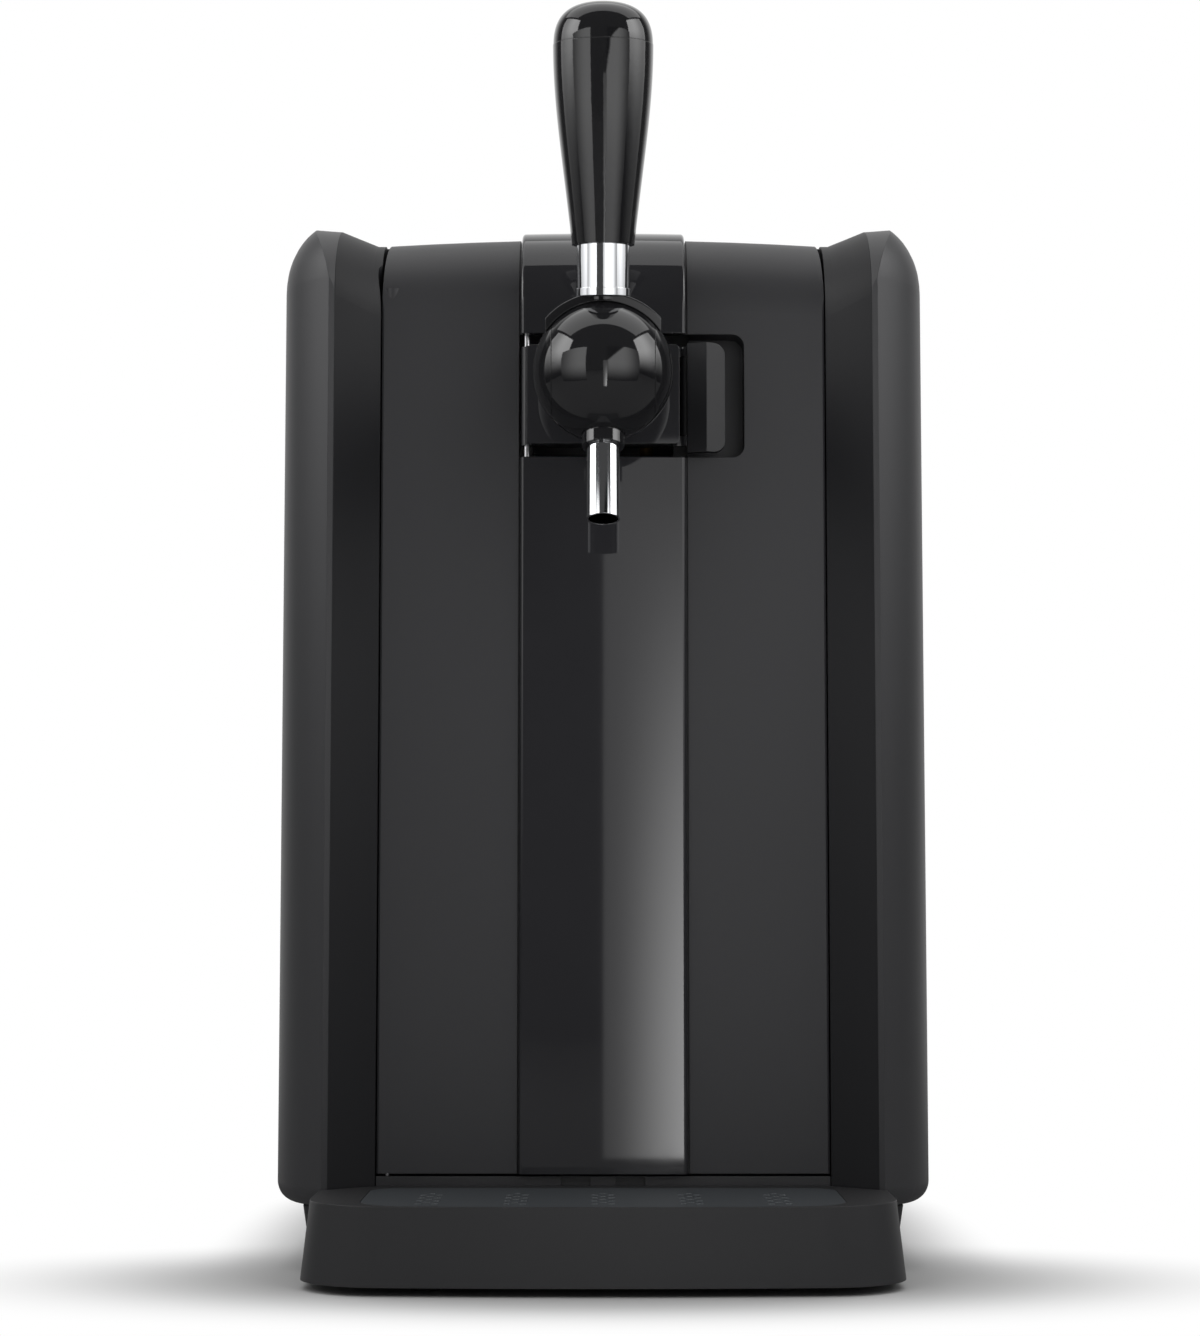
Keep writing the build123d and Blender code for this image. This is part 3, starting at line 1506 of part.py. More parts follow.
def make_nozzle():
    """Air nozzle through the jacket and the chamber ceiling."""
    x = nozzle_x
    y = nozzle_y
    flange_z = jacket_top_z + 2
    nozzle = pillar(nozzle_radius, x, y, ceiling_z - 5, flange_z)
    nozzle += pillar(nozzle_radius + 4, x, y, jacket_top_z, flange_z)
    nozzle += pillar(barb_radius, x, y, flange_z, hose_z - hose_bend - 2)
    return nozzle - pillar(barb_radius / 2, x, y, ceiling_z - 6, jacket_top_z)


def make_air_hose():
    """Short air hose from the pump barb to the nozzle barb."""
    path = FilletPolyline(
        (pump_head_x + pump_head_length + run_gap, nozzle_y, hose_z), (nozzle_x, nozzle_y, hose_z),
        (nozzle_x, nozzle_y, jacket_top_z + 2 + run_gap), radius=hose_bend,
    )
    ring = Circle(barb_radius + hose_wall) - Circle(barb_radius)
    return sweep(Plane(origin=path @ 0, z_dir=path % 0) * ring, path)


if __name__ == "__main__":
    save("right_side_panel", make_side_panel())
    save("left_side_panel", mirror(make_side_panel(), Plane.YZ))
    save("front_frame", make_front_frame())
    save("top_cover", make_top_cover())
    save("display_window", make_display_window())
    save("display_module", make_display_module())
    save("button_left", make_button(-1))
    save("button_right", make_button(1))
    save("control_board", make_control_board())
    save("door_panel", make_door_panel())
    save("upper_band", make_band(False))
    save("lower_band", make_band(True))
    save("door_liner", make_door_liner())
    save("door_foam", make_door_foam())
    save("door_gasket", make_door_gasket())
    save("chamber_liner", make_chamber_liner())
    save("insulation_jacket", make_insulation_jacket())
    save("keg_platform", make_keg_platform())
    save("cold_plate", make_cold_plate())
    save("peltier_module", make_peltier())
    save("heat_sink", make_heat_sink())
    save("fan_frame", make_fan_frame())
    save("fan_rotor", make_fan_rotor())
    save("rear_cover", make_rear_cover())
    save("panel_screws", make_panel_screws())
    save("base_plinth", make_plinth())
    save("rubber_feet", make_feet())
    save("door_pin", make_door_pin())
    save("hinge_ear", make_hinge_ear())
    save("drip_tray", make_drip_tray())
    save("drip_cover", make_drip_cover())
    save("tap_plate", make_tap_plate())
    save("tap_body", make_tap_body())
    save("ball_cap_left", make_ball_cap(-1))
    save("ball_cap_right", make_ball_cap(1))
    save("handle_axle", make_axle())
    save("pinch_tube", make_pinch_tube())
    save("spout", make_spout())
    save("spout_nut", make_spout_nut())
    save("handle_hood", make_hood())
    save("handle_collar", make_collar())
    save("handle_grip", make_grip())
    save("handle_cap", make_grip_cap())
    save("release_lever", make_lever())
    save("lever_pin", make_lever_pin())
    save("tap_hinge_pin", make_tap_pin())
    save("pinch_plunger", make_plunger())
    save("plunger_spring", make_plunger_spring())
    save("mains_inlet", make_inlet())
    save("switch_frame", make_switch_frame())
    save("switch_rocker", make_rocker())
    save("power_supply_board", make_supply_board())
    save("air_pump_motor", make_pump_motor())
    save("air_pump_head", make_pump_head())
    save("air_nozzle", make_nozzle())
    save("air_hose", make_air_hose())
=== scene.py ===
"""Finishes, small fittings and studio for a counter-top mini keg beer dispenser."""

import json
import math

import bmesh
import bpy
from bpy.props import FloatProperty, FloatVectorProperty, IntProperty, PointerProperty
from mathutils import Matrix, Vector


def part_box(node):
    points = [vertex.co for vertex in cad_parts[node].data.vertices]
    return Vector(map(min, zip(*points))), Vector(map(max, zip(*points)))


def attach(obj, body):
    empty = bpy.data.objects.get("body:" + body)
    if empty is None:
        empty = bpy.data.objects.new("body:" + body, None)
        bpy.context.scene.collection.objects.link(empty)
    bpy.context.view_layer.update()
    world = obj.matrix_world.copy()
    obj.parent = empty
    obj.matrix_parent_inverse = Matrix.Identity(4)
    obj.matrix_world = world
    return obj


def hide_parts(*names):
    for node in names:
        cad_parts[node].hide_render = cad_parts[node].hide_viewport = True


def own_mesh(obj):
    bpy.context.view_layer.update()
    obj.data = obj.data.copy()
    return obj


bl_info = {
    "name": "Mini keg beer dispenser",
    "version": (1, 0, 0),
    "blender": (4, 5, 0),
    "location": "3D View > Sidebar > Dispenser",
    "description": "Finishes, small fittings and studio for a mini keg beer dispenser",
    "category": "Object",
}

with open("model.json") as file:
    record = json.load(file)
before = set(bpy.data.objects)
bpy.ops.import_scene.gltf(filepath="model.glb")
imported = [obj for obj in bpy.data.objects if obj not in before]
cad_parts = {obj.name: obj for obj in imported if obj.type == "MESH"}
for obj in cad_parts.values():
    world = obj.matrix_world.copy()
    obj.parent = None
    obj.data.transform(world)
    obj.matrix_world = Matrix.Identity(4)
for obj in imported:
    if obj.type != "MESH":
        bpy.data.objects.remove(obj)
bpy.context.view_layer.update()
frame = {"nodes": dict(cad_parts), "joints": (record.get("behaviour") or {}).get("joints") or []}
NODES = frame["nodes"]

# Lengths are in metres.
MM = 0.001
WELD = 0.001 * MM  # corners closer than this are one corner
LEVEL = 0.01 * MM  # corners whose heights differ by less than this are level
LARGEST_DRAIN = 6 * MM
LEAST_HOLE_CORNERS = 6
BOARD_PITCH = 2.54 * MM
WHITE = (1.0, 1.0, 1.0, 1.0)


# ------------------------------------------------------------------ node trees


class Value:
    """One output socket of a tree. Sums, products and powers of values add Math nodes."""

    def __init__(self, home, socket):
        self.home = home
        self.socket = socket

    def _math(self, operation, *terms):
        inputs = dict(enumerate(terms))
        return self.home.add("ShaderNodeMath", {"operation": operation}, inputs).out()

    def __add__(self, other):
        return self._math("ADD", self, other)

    __radd__ = __add__

    def __sub__(self, other):
        return self._math("SUBTRACT", self, other)

    def __rsub__(self, other):
        return self._math("SUBTRACT", other, self)

    def __mul__(self, other):
        return self._math("MULTIPLY", self, other)

    __rmul__ = __mul__

    def __truediv__(self, other):
        return self._math("DIVIDE", self, other)

    def __pow__(self, other):
        return self._math("POWER", self, other)

    def largest(self, other):
        return self._math("MAXIMUM", self, other)

    def above(self, limit):
        return self._math("GREATER_THAN", self, limit)

    def absolute(self):
        return self._math("ABSOLUTE", self)

    def repeat(self, period):
        """Rises from 0 to the period and falls back, again and again."""
        return self._math("PINGPONG", self, period)

    def ramp(self, low, high):
        """0 below low, 1 above high, smooth between them."""
        settings = {"interpolation_type": "SMOOTHSTEP", "clamp": True}
        inputs = {"Value": self, "From Min": low, "From Max": high}
        return self.home.add("ShaderNodeMapRange", settings, inputs).out("Result")


class Placed:
    """A node that stands in a tree. Its outputs are values."""

    def __init__(self, home, node):
        self.home = home
        self.node = node

    def out(self, name=0):
        return Value(self.home, self.node.outputs[name])


class Tree:
    """A node tree that Python expressions fill."""

    def __init__(self, tree):
        self.tree = tree

    def link(self, value, socket):
        self.tree.links.new(value.socket, socket)

    def add(self, kind, settings=None, inputs=None):
        """Adds a node: its settings first, then the values or links of its sockets."""
        node = self.tree.nodes.new(kind)
        for name, setting in (settings or {}).items():
            setattr(node, name, setting)
        for name, value in (inputs or {}).items():
            if isinstance(value, Value):
                self.link(value, node.inputs[name])
            else:
                node.inputs[name].default_value = value
        return Placed(self, node)

    def axes(self, place):
        """The X, Y and Z of a place."""
        split = self.add("ShaderNodeSeparateXYZ", inputs={0: place})
        return split.out("X"), split.out("Y"), split.out("Z")


class Recipe(Tree):
    """The node tree of a material or of the world."""

    def __init__(self, tree):
        super().__init__(tree)
        tree.nodes.clear()

    def place(self):
        """Object coordinates."""
        return self.add("ShaderNodeTexCoord").out("Object")

    def noise(self, scale, detail=2.0, roughness=0.5, stretch=None):
        """Noise from 0 to 1. Scale is in cells to a metre."""
        where = self.place()
        if stretch:
            where = self.add("ShaderNodeMapping", inputs={"Vector": where, "Scale": stretch}).out()
        inputs = {"Vector": where, "Scale": scale, "Detail": detail, "Roughness": roughness}
        return self.add("ShaderNodeTexNoise", inputs=inputs).out("Fac")

    def blend(self, share, low, high):
        """Colour low where share is 0, and high where it is 1."""
        settings = {"data_type": "RGBA", "clamp_factor": True}
        return self.add("ShaderNodeMix", settings, {0: share, 6: low, 7: high}).out(2)

    def rounded(self, radius):
        """The surface's direction, with its sharp edges turned by a small radius."""
        return self.add("ShaderNodeBevel", {"samples": 4}, {"Radius": radius}).out()

    def bumped(self, height, depth, edge=None):
        """The surface's direction over bumps of a depth, on edges rounded by a radius."""
        inputs = {"Height": height, "Distance": depth, "Strength": 1.0}
        if edge:
            inputs["Normal"] = self.rounded(edge)
        return self.add("ShaderNodeBump", inputs=inputs).out()

    def ray(self):
        """Whether a ray comes from the camera, and whether a mirror or a lens sent it on."""
        path = self.add("ShaderNodeLightPath")
        mirrored = path.out("Is Glossy Ray").largest(path.out("Is Transmission Ray"))
        return path.out("Is Camera Ray"), mirrored

    def diffuse(self, colour):
        inputs = {"Color": colour, "Roughness": 0.0}
        return self.add("ShaderNodeBsdfDiffuse", inputs=inputs).out()

    def emission(self, strength=1.0):
        inputs = {"Color": WHITE, "Strength": strength}
        return self.add("ShaderNodeEmission", inputs=inputs).out()

    def mixed(self, share, first, second):
        return self.add("ShaderNodeMixShader", inputs={0: share, 1: first, 2: second}).out()

    def finish(self, shader, output="ShaderNodeOutputMaterial"):
        self.add(output, inputs={"Surface": shader})

    def principled(self, **sockets):
        inputs = {name.replace("_", " "): value for name, value in sockets.items()}
        self.finish(self.add("ShaderNodeBsdfPrincipled", inputs=inputs).out())


class Pattern(Tree):
    """A Geometry Nodes tree with named inputs, run once on a set of places."""

    def __init__(self, name):
        super().__init__(bpy.data.node_groups.new(name, "GeometryNodeTree"))
        self.name = name
        self.identifiers = {}
        for way in ("INPUT", "OUTPUT"):
            self.tree.interface.new_socket(
                "Geometry", in_out=way, socket_type="NodeSocketGeometry"
            )
        self.entry = self.add("NodeGroupInput")
        self.exit = self.add("NodeGroupOutput")

    def given(self, name, default, kind="NodeSocketFloat"):
        """A named input of the tree."""
        socket = self.tree.interface.new_socket(name, in_out="INPUT", socket_type=kind)
        socket.default_value = default
        self.identifiers[name] = socket.identifier
        return self.entry.out(name)

    def vector(self, x=0.0, y=0.0, z=0.0):
        return self.add("ShaderNodeCombineXYZ", inputs={"X": x, "Y": y, "Z": z}).out()

    def moved(self, geometry, shift):
        inputs = {"Geometry": geometry, "Translation": shift}
        return self.add("GeometryNodeTransform", inputs=inputs).out()

    def ring(self, radius, corners):
        """A circle, as a curve."""
        inputs = {"Resolution": corners, "Radius": radius}
        return self.add("GeometryNodeCurvePrimitiveCircle", inputs=inputs).out()

    def swept(self, path, section, caps=False):
        inputs = {"Curve": path, "Profile Curve": section, "Fill Caps": caps}
        return self.add("GeometryNodeCurveToMesh", inputs=inputs).out()

    def at_places(self, geometry, **more):
        """One instance of the geometry at each place."""
        inputs = {"Points": self.entry.out("Geometry"), "Instance": geometry, **more}
        return self.add("GeometryNodeInstanceOnPoints", inputs=inputs).out()

    def close(self, geometry, finish):
        solid = self.add("GeometryNodeRealizeInstances", inputs={"Geometry": geometry}).out()
        inputs = {"Geometry": solid, "Material": FINISHES[finish]}
        dressed = self.add("GeometryNodeSetMaterial", inputs=inputs).out()
        self.link(dressed, self.exit.node.inputs[0])

    def run(self, places, sharp, **values):
        """The pattern at the places, as an object, smooth but for edges above sharp degrees."""
        carrier = bpy.data.meshes.new(self.name + "_places")
        carrier.from_pydata(places, [], [])
        source = bpy.data.objects.new(self.name + "_carrier", carrier)
        bpy.context.scene.collection.objects.link(source)
        modifier = source.modifiers.new("pattern", "NODES")
        modifier.node_group = self.tree
        for name, value in values.items():
            modifier[self.identifiers[name.replace("_", " ")]] = value
        graph = bpy.context.evaluated_depsgraph_get()
        mesh = bpy.data.meshes.new_from_object(source.evaluated_get(graph))
        source.modifiers.remove(modifier)
        bpy.data.objects.remove(source)
        mesh.name = self.name
        mesh.shade_smooth()
        mesh.set_sharp_from_angle(angle=math.radians(sharp))
        piece = bpy.data.objects.new(self.name, mesh)
        bpy.context.scene.collection.objects.link(piece)
        return piece


# -------------------------------------------------------------------- finishes


FINISHES = {}


def grey(level):
    return (level, level, level, 1.0)


def lighter(colour, share):
    return tuple(min(1.0, c * share) for c in colour[:3]) + (1.0,)


def new_finish(name):
    """The recipe of a new material, which FINISHES keeps under its name."""
    material = bpy.data.materials.new(name)
    material.use_nodes = True
    FINISHES[name] = material
    return Recipe(material.node_tree)


def moulded(name, colour, roughness, grain, depth, specular=0.5):
    """Moulded plastic with a spark-eroded grain: grain and depth in millimetres."""
    recipe = new_finish(name)
    fine = recipe.noise(1.0 / (grain * MM), detail=2.0, roughness=0.6)
    broad = recipe.noise(9.0, detail=3.0, roughness=0.5)
    worn = recipe.noise(60.0, detail=4.0, roughness=0.55)
    shade = fine * 0.35 + broad * 0.45 + worn * 0.2
    recipe.principled(
        Base_Color=recipe.blend(shade, lighter(colour, 0.92), lighter(colour, 1.08)),
        Roughness=roughness - 0.05 + fine * 0.06 + broad * 0.04,
        Specular_IOR_Level=specular,
        Normal=recipe.bumped(fine, depth * MM, edge=0.4 * MM),
    )


def lacquered(name, colour, roughness, edge=0.35, coat=0.0):
    """High-gloss plastic with a faint ripple, a few dull marks and dust: edge in millimetres."""
    recipe = new_finish(name)
    ripple = recipe.noise(38.0, detail=1.0, roughness=0.4)
    marks = recipe.noise(22.0, detail=5.0, roughness=0.65).ramp(0.56, 0.78)
    dust = recipe.noise(2600.0, detail=1.0, roughness=0.5).ramp(0.74, 0.80)
    recipe.principled(
        Base_Color=recipe.blend(dust * 0.5 + ripple * 0.3, colour, lighter(colour, 1.35)),
        Roughness=marks * 0.02 + roughness,
        Coat_Weight=coat,
        Normal=recipe.bumped(ripple, 0.004 * MM, edge=edge * MM),
    )


def metal(name, colour, roughness, brush, depth=0.002):
    """Metal with polishing lines across the axis whose factor in brush is largest: depth in mm."""
    recipe = new_finish(name)
    lines = recipe.noise(700.0, detail=3.0, roughness=0.6, stretch=brush)
    cloud = recipe.noise(45.0, detail=3.0, roughness=0.5)
    recipe.principled(
        Base_Color=recipe.blend(cloud * 0.6 + lines * 0.4, lighter(colour, 0.93), colour),
        Metallic=1.0,
        Roughness=lines * 0.05 + cloud * 0.04 + (roughness - 0.045),
        Normal=recipe.bumped(lines, depth * MM, edge=0.25 * MM),
    )


def rubber(name, colour, roughness):
    recipe = new_finish(name)
    grain = recipe.noise(1800.0, detail=3.0, roughness=0.7)
    bloom = recipe.noise(70.0, detail=4.0, roughness=0.6)
    recipe.principled(
        Base_Color=recipe.blend(bloom, lighter(colour, 0.8), lighter(colour, 1.3)),
        Roughness=roughness + bloom * 0.1 - 0.05,
        Normal=recipe.bumped(grain, 0.05 * MM, edge=0.4 * MM),
    )


def foamed(name, colour):
    """Rigid foam: open cells seen on its skin."""
    recipe = new_finish(name)
    inputs = {"Vector": recipe.place(), "Scale": 900.0}
    cells = recipe.add("ShaderNodeTexVoronoi", {"feature": "F1"}, inputs).out("Distance")
    skin = recipe.noise(30.0, detail=4.0, roughness=0.6)
    recipe.principled(
        Base_Color=recipe.blend(cells * 0.8 + skin * 0.3, lighter(colour, 0.78), colour),
        Roughness=0.85 + skin * 0.1,
        Normal=recipe.bumped(cells, 0.25 * MM, edge=0.5 * MM),
    )


def circuit(name, colour, copper):
    """Lacquered circuit board: copper tracks and pads under the lacquer."""
    recipe = new_finish(name)
    x, y, z = recipe.axes(recipe.place())
    along = ((x / BOARD_PITCH).repeat(0.5) - 0.25).absolute()
    across = ((y / BOARD_PITCH + z / BOARD_PITCH).repeat(0.5) - 0.25).absolute()
    field = recipe.noise(120.0, detail=1.0, roughness=0.5)
    tracks_along = along.above(0.19) * field.ramp(0.47, 0.5)
    tracks_across = across.above(0.19) * field.ramp(0.53, 0.5)
    track = tracks_along.largest(tracks_across)
    pads = (along.above(0.15) * across.above(0.15)) * recipe.noise(75.0).ramp(0.5, 0.52)
    board = recipe.blend(track, colour, lighter(colour, 1.9))
    recipe.principled(
        Base_Color=recipe.blend(pads, board, copper),
        Metallic=pads * 0.8,
        Roughness=0.42 - pads * 0.1,
        Normal=recipe.bumped(track, 0.03 * MM, edge=0.2 * MM),
    )


def clear_tube(name, colour):
    recipe = new_finish(name)
    film = recipe.noise(160.0, detail=3.0, roughness=0.6)
    recipe.principled(
        Base_Color=recipe.blend(film, lighter(colour, 0.93), colour),
        Roughness=0.16 + film * 0.1,
        Transmission_Weight=0.75,
        IOR=1.42,
        Normal=recipe.bumped(film, 0.02 * MM),
    )


def smoked_glass(name, colour):
    recipe = new_finish(name)
    smear = recipe.noise(40.0, detail=5.0, roughness=0.6).ramp(0.5, 0.75)
    recipe.principled(
        Base_Color=recipe.blend(smear, colour, lighter(colour, 1.25)),
        Roughness=smear * 0.06 + 0.03,
        Coat_Weight=0.5,
        Normal=recipe.rounded(0.3 * MM),
    )


def make_finishes(colours):
    moulded("wing_plastic", colours.shell, 0.46, grain=0.30, depth=0.012)
    moulded("lever_plastic", colours.lever, 0.36, grain=0.30, depth=0.006)
    moulded("cover_plastic", colours.cover, 0.46, grain=0.32, depth=0.014)
    moulded("door_plastic", colours.door, 0.46, grain=0.30, depth=0.012, specular=0.4)
    moulded("frame_plastic", colours.frame, 0.44, grain=0.28, depth=0.010)
    # painted shade: the fairings' plastic is darker than the door's to stand in for the shade on
    # their inward faces
    moulded("fairing_painted_shade_plastic", colours.fairing, 0.50, grain=0.28, depth=0.010, specular=0.3)
    moulded("tray_plastic", colours.tray, 0.48, grain=0.32, depth=0.014)
    moulded("liner_plastic", (0.16, 0.16, 0.165, 1.0), 0.42, grain=0.5, depth=0.01)
    moulded("fan_plastic", grey(0.018), 0.38, grain=0.4, depth=0.008)
    moulded("ceramic", (0.82, 0.82, 0.80, 1.0), 0.55, grain=0.2, depth=0.01)
    lacquered("band_lacquer", colours.band, 0.035)
    lacquered("tap_lacquer", colours.tap, 0.045, edge=0.5, coat=0.1)
    lacquered("display_panel", (0.010, 0.011, 0.013, 1.0), 0.09)
    metal("chrome_plate", colours.chrome, 0.07, brush=(0.4, 0.4, 8.0))
    metal("bright_steel", (0.55, 0.55, 0.56, 1.0), 0.24, brush=(6.0, 1.0, 1.0), depth=0.004)
    metal("liner_sheet", (0.70, 0.71, 0.72, 1.0), 0.34, brush=(1.0, 1.0, 9.0), depth=0.006)
    metal("sink_metal", (0.62, 0.63, 0.64, 1.0), 0.40, brush=(1.0, 9.0, 1.0), depth=0.008)
    metal("motor_can", (0.42, 0.42, 0.43, 1.0), 0.28, brush=(9.0, 1.0, 1.0), depth=0.004)
    metal("turned_brass", (0.72, 0.55, 0.26, 1.0), 0.22, brush=(1.0, 1.0, 9.0), depth=0.004)
    rubber("foot_rubber", grey(0.014), 0.78)
    rubber("gasket_rubber", (0.030, 0.030, 0.031, 1.0), 0.62)
    foamed("rigid_foam", (0.78, 0.72, 0.55, 1.0))
    circuit("board_lacquer", (0.012, 0.085, 0.03, 1.0), (0.75, 0.48, 0.22, 1.0))
    smoked_glass("display_glass", (0.010, 0.010, 0.012, 1.0))
    clear_tube("clear_hose", (0.86, 0.87, 0.85, 1.0))


# What each group of nodes wears: the finishes, and the nodes that have them.
HOUSING = {
    "wing_plastic": ("left_side_panel", "right_side_panel", "top_cover", "rear_cover"),
    "fairing_painted_shade_plastic": ("front_frame",),
    "frame_plastic": (
        "base_plinth",
        "switch_frame",
        "mains_inlet",
        "button_left",
        "button_right",
    ),
    "foot_rubber": ("rubber_feet",),
    "bright_steel": ("panel_screws",),
    "tap_lacquer": ("switch_rocker",),
}
DOOR = {
    "door_plastic": ("door_panel",),
    "band_lacquer": ("upper_band", "lower_band", "tap_plate"),
    "lever_plastic": ("release_lever",),
    "liner_plastic": ("door_liner",),
    "gasket_rubber": ("door_gasket",),
    "rigid_foam": ("door_foam",),
    "bright_steel": ("door_pin", "hinge_ear", "tap_hinge_pin", "lever_pin"),
}
TAP = {
    "tap_lacquer": (
        "tap_body",
        "ball_cap_left",
        "ball_cap_right",
        "handle_hood",
        "handle_grip",
        "handle_cap",
        "spout_nut",
    ),
    "chrome_plate": ("spout", "handle_collar"),
    "clear_hose": ("pinch_tube",),
    "liner_plastic": ("pinch_plunger",),
    "bright_steel": ("handle_axle", "plunger_spring"),
}
COOLING = {
    "liner_sheet": ("chamber_liner",),
    "rigid_foam": ("insulation_jacket",),
    "liner_plastic": ("keg_platform", "air_pump_head"),
    "sink_metal": ("heat_sink", "cold_plate"),
    "ceramic": ("peltier_module",),
    "fan_plastic": ("fan_frame", "fan_rotor"),
    "motor_can": ("air_pump_motor",),
    "turned_brass": ("air_nozzle",),
    "clear_hose": ("air_hose",),
    "board_lacquer": ("power_supply_board", "control_board"),
    "display_panel": ("display_module",),
    "display_glass": ("display_window",),
}
TRAY = {
    "tray_plastic": ("drip_tray",),
    "cover_plastic": ("drip_cover",),
}


def dress(group):
    for finish, names in group.items():
        for name in names:
            node = NODES[name]
            if not node.material_slots:
                node.data.materials.append(None)
            for slot in node.material_slots:
                slot.material = FINISHES[finish]


# ------------------------------------------------------------------ properties


def length_property(name, description, default):
    return FloatProperty(name=name, description=description, default=default, unit="LENGTH")


def colour_property(name, description, default):
    return FloatVectorProperty(
        name=name,
        description=description,
        subtype="COLOR",
        size=4,
        min=0.0,
        max=1.0,
        default=default,
    )


class DISPENSER_colours(bpy.types.PropertyGroup):
    shell: colour_property("Shell", "Side panels, top and rear", (0.023, 0.023, 0.0253, 1.0))
    door: colour_property("Door", "Door skin", (0.025, 0.025, 0.0275, 1.0))
    lever: colour_property("Lever", "Release lever", (0.009, 0.009, 0.0105, 1.0))
    frame: colour_property("Base", "Base, inlet and buttons", (0.018, 0.018, 0.0198, 1.0))
    # painted shade: darker than the door, standing in for the shade on the fairings' inward faces
    fairing: colour_property("Fairing", "Inner frame and fairings", (0.009, 0.009, 0.0105, 1.0))
    tray: colour_property("Tray", "Drip tray", (0.017, 0.017, 0.0187, 1.0))
    cover: colour_property("Cover", "Cover of the drip tray", (0.044, 0.050, 0.056, 1.0))
    band: colour_property("Band", "Glossy band and tap plate", (0.020, 0.020, 0.0222, 1.0))
    tap: colour_property("Tap", "Ball, hood, handle and spout nut", (0.011, 0.011, 0.012, 1.0))
    chrome: colour_property("Chrome", "Spout and collar", (0.72, 0.73, 0.75, 1.0))


class DISPENSER_fittings(bpy.types.PropertyGroup):
    head_height: length_property("Screw head height", "Height of a screw's head", 1.8 * MM)
    slot_width: length_property("Recess width", "Width of each arm of a screw's recess", 0.9 * MM)
    rim_bead: length_property("Drain rim", "Thickness of the bead round each drain hole", 0.4 * MM)
    spring_turns: IntProperty(
        name="Spring turns", description="Turns of the plunger spring", default=5, min=2
    )
    spring_wire: length_property("Spring wire", "Wire diameter of the plunger spring", 0.7 * MM)


class DISPENSER_studio(bpy.types.PropertyGroup):
    lens: FloatProperty(name="Lens", description="Focal length", default=82.2, unit="CAMERA")
    distance: length_property("Distance", "From the camera to the middle of the object", 1.345)
    height: length_property("Height", "Camera above the counter", 0.135)
    pitch: FloatProperty(
        name="Pitch",
        description="How far the camera looks up",
        default=math.radians(5.45),
        unit="ROTATION",
    )
    lamps: FloatProperty(
        name="Lamps", description="Factor on all the lamps", default=1.0, subtype="FACTOR"
    )


# ----------------------------------------------------------- measures of nodes


def welded(node):
    """The mesh of a node, its corners joined, as a BMesh that the caller frees."""
    mesh = bmesh.new()
    mesh.from_mesh(NODES[node].data)
    bmesh.ops.remove_doubles(mesh, verts=mesh.verts, dist=WELD)
    return mesh


def connected(corners, joins):
    """Groups of places of the corners that edges join. joins says which edges and ends count."""
    seen, groups = set(), []
    for start in corners:
        if start in seen:
            continue
        seen.add(start)
        waiting, places = [start], []
        while waiting:
            corner = waiting.pop()
            places.append(corner.co.copy())
            for edge in corner.link_edges:
                other = edge.other_vert(corner)
                if other not in seen and joins(edge, other):
                    seen.add(other)
                    waiting.append(other)
        groups.append(places)
    return groups


def solids(node):
    """The box of each separate solid of a node, as its lowest and highest corners."""
    mesh = welded(node)
    groups = connected(mesh.verts, lambda edge, end: True)
    mesh.free()
    return [
        tuple(Vector(pick(place[i] for place in places) for i in range(3)) for pick in (min, max))
        for places in groups
    ]


def round_holes(node):
    """Radius, top height and centres of the upright round holes through a flat node."""
    mesh = welded(node)
    top = max(corner.co.z for corner in mesh.verts)
    level = [corner for corner in mesh.verts if top - corner.co.z < LEVEL]
    on_top = set(level)

    def rim(edge, end):
        return end in on_top and any(abs(face.normal.z) < 0.5 for face in edge.link_faces)

    loops = connected(level, rim)
    mesh.free()
    holes = []
    for loop in loops:
        wide = max(place.x for place in loop) - min(place.x for place in loop)
        if wide < LARGEST_DRAIN and len(loop) >= LEAST_HOLE_CORNERS:
            middle = [sum(place[i] for place in loop) / len(loop) for i in range(2)]
            holes.append((wide / 2, middle))
    return holes[0][0], top, [middle for _, middle in holes]


# ------------------------------------------------------------ repeated fittings


HEAD_CORNERS = 40
SHANK_CORNERS = 24
DOME_FALL = 0.45  # how far a screw head's rim lies below its middle, over its height
RECESS_SPAN = 1.15  # length of a recess arm over the head's radius
RECESS_BAR = 1.3  # height of the bar that cuts a recess arm over the head's height
SHANK_DROP = 0.49  # how far the shank's middle lies below the head, over its length
RIM_CORNERS = 28
BEAD_CORNERS = 8
COIL_CORNERS = 40
WIRE_CORNERS = 12
COIL_INSET = 0.75  # from the outside of the node to the middle of the wire, in wires


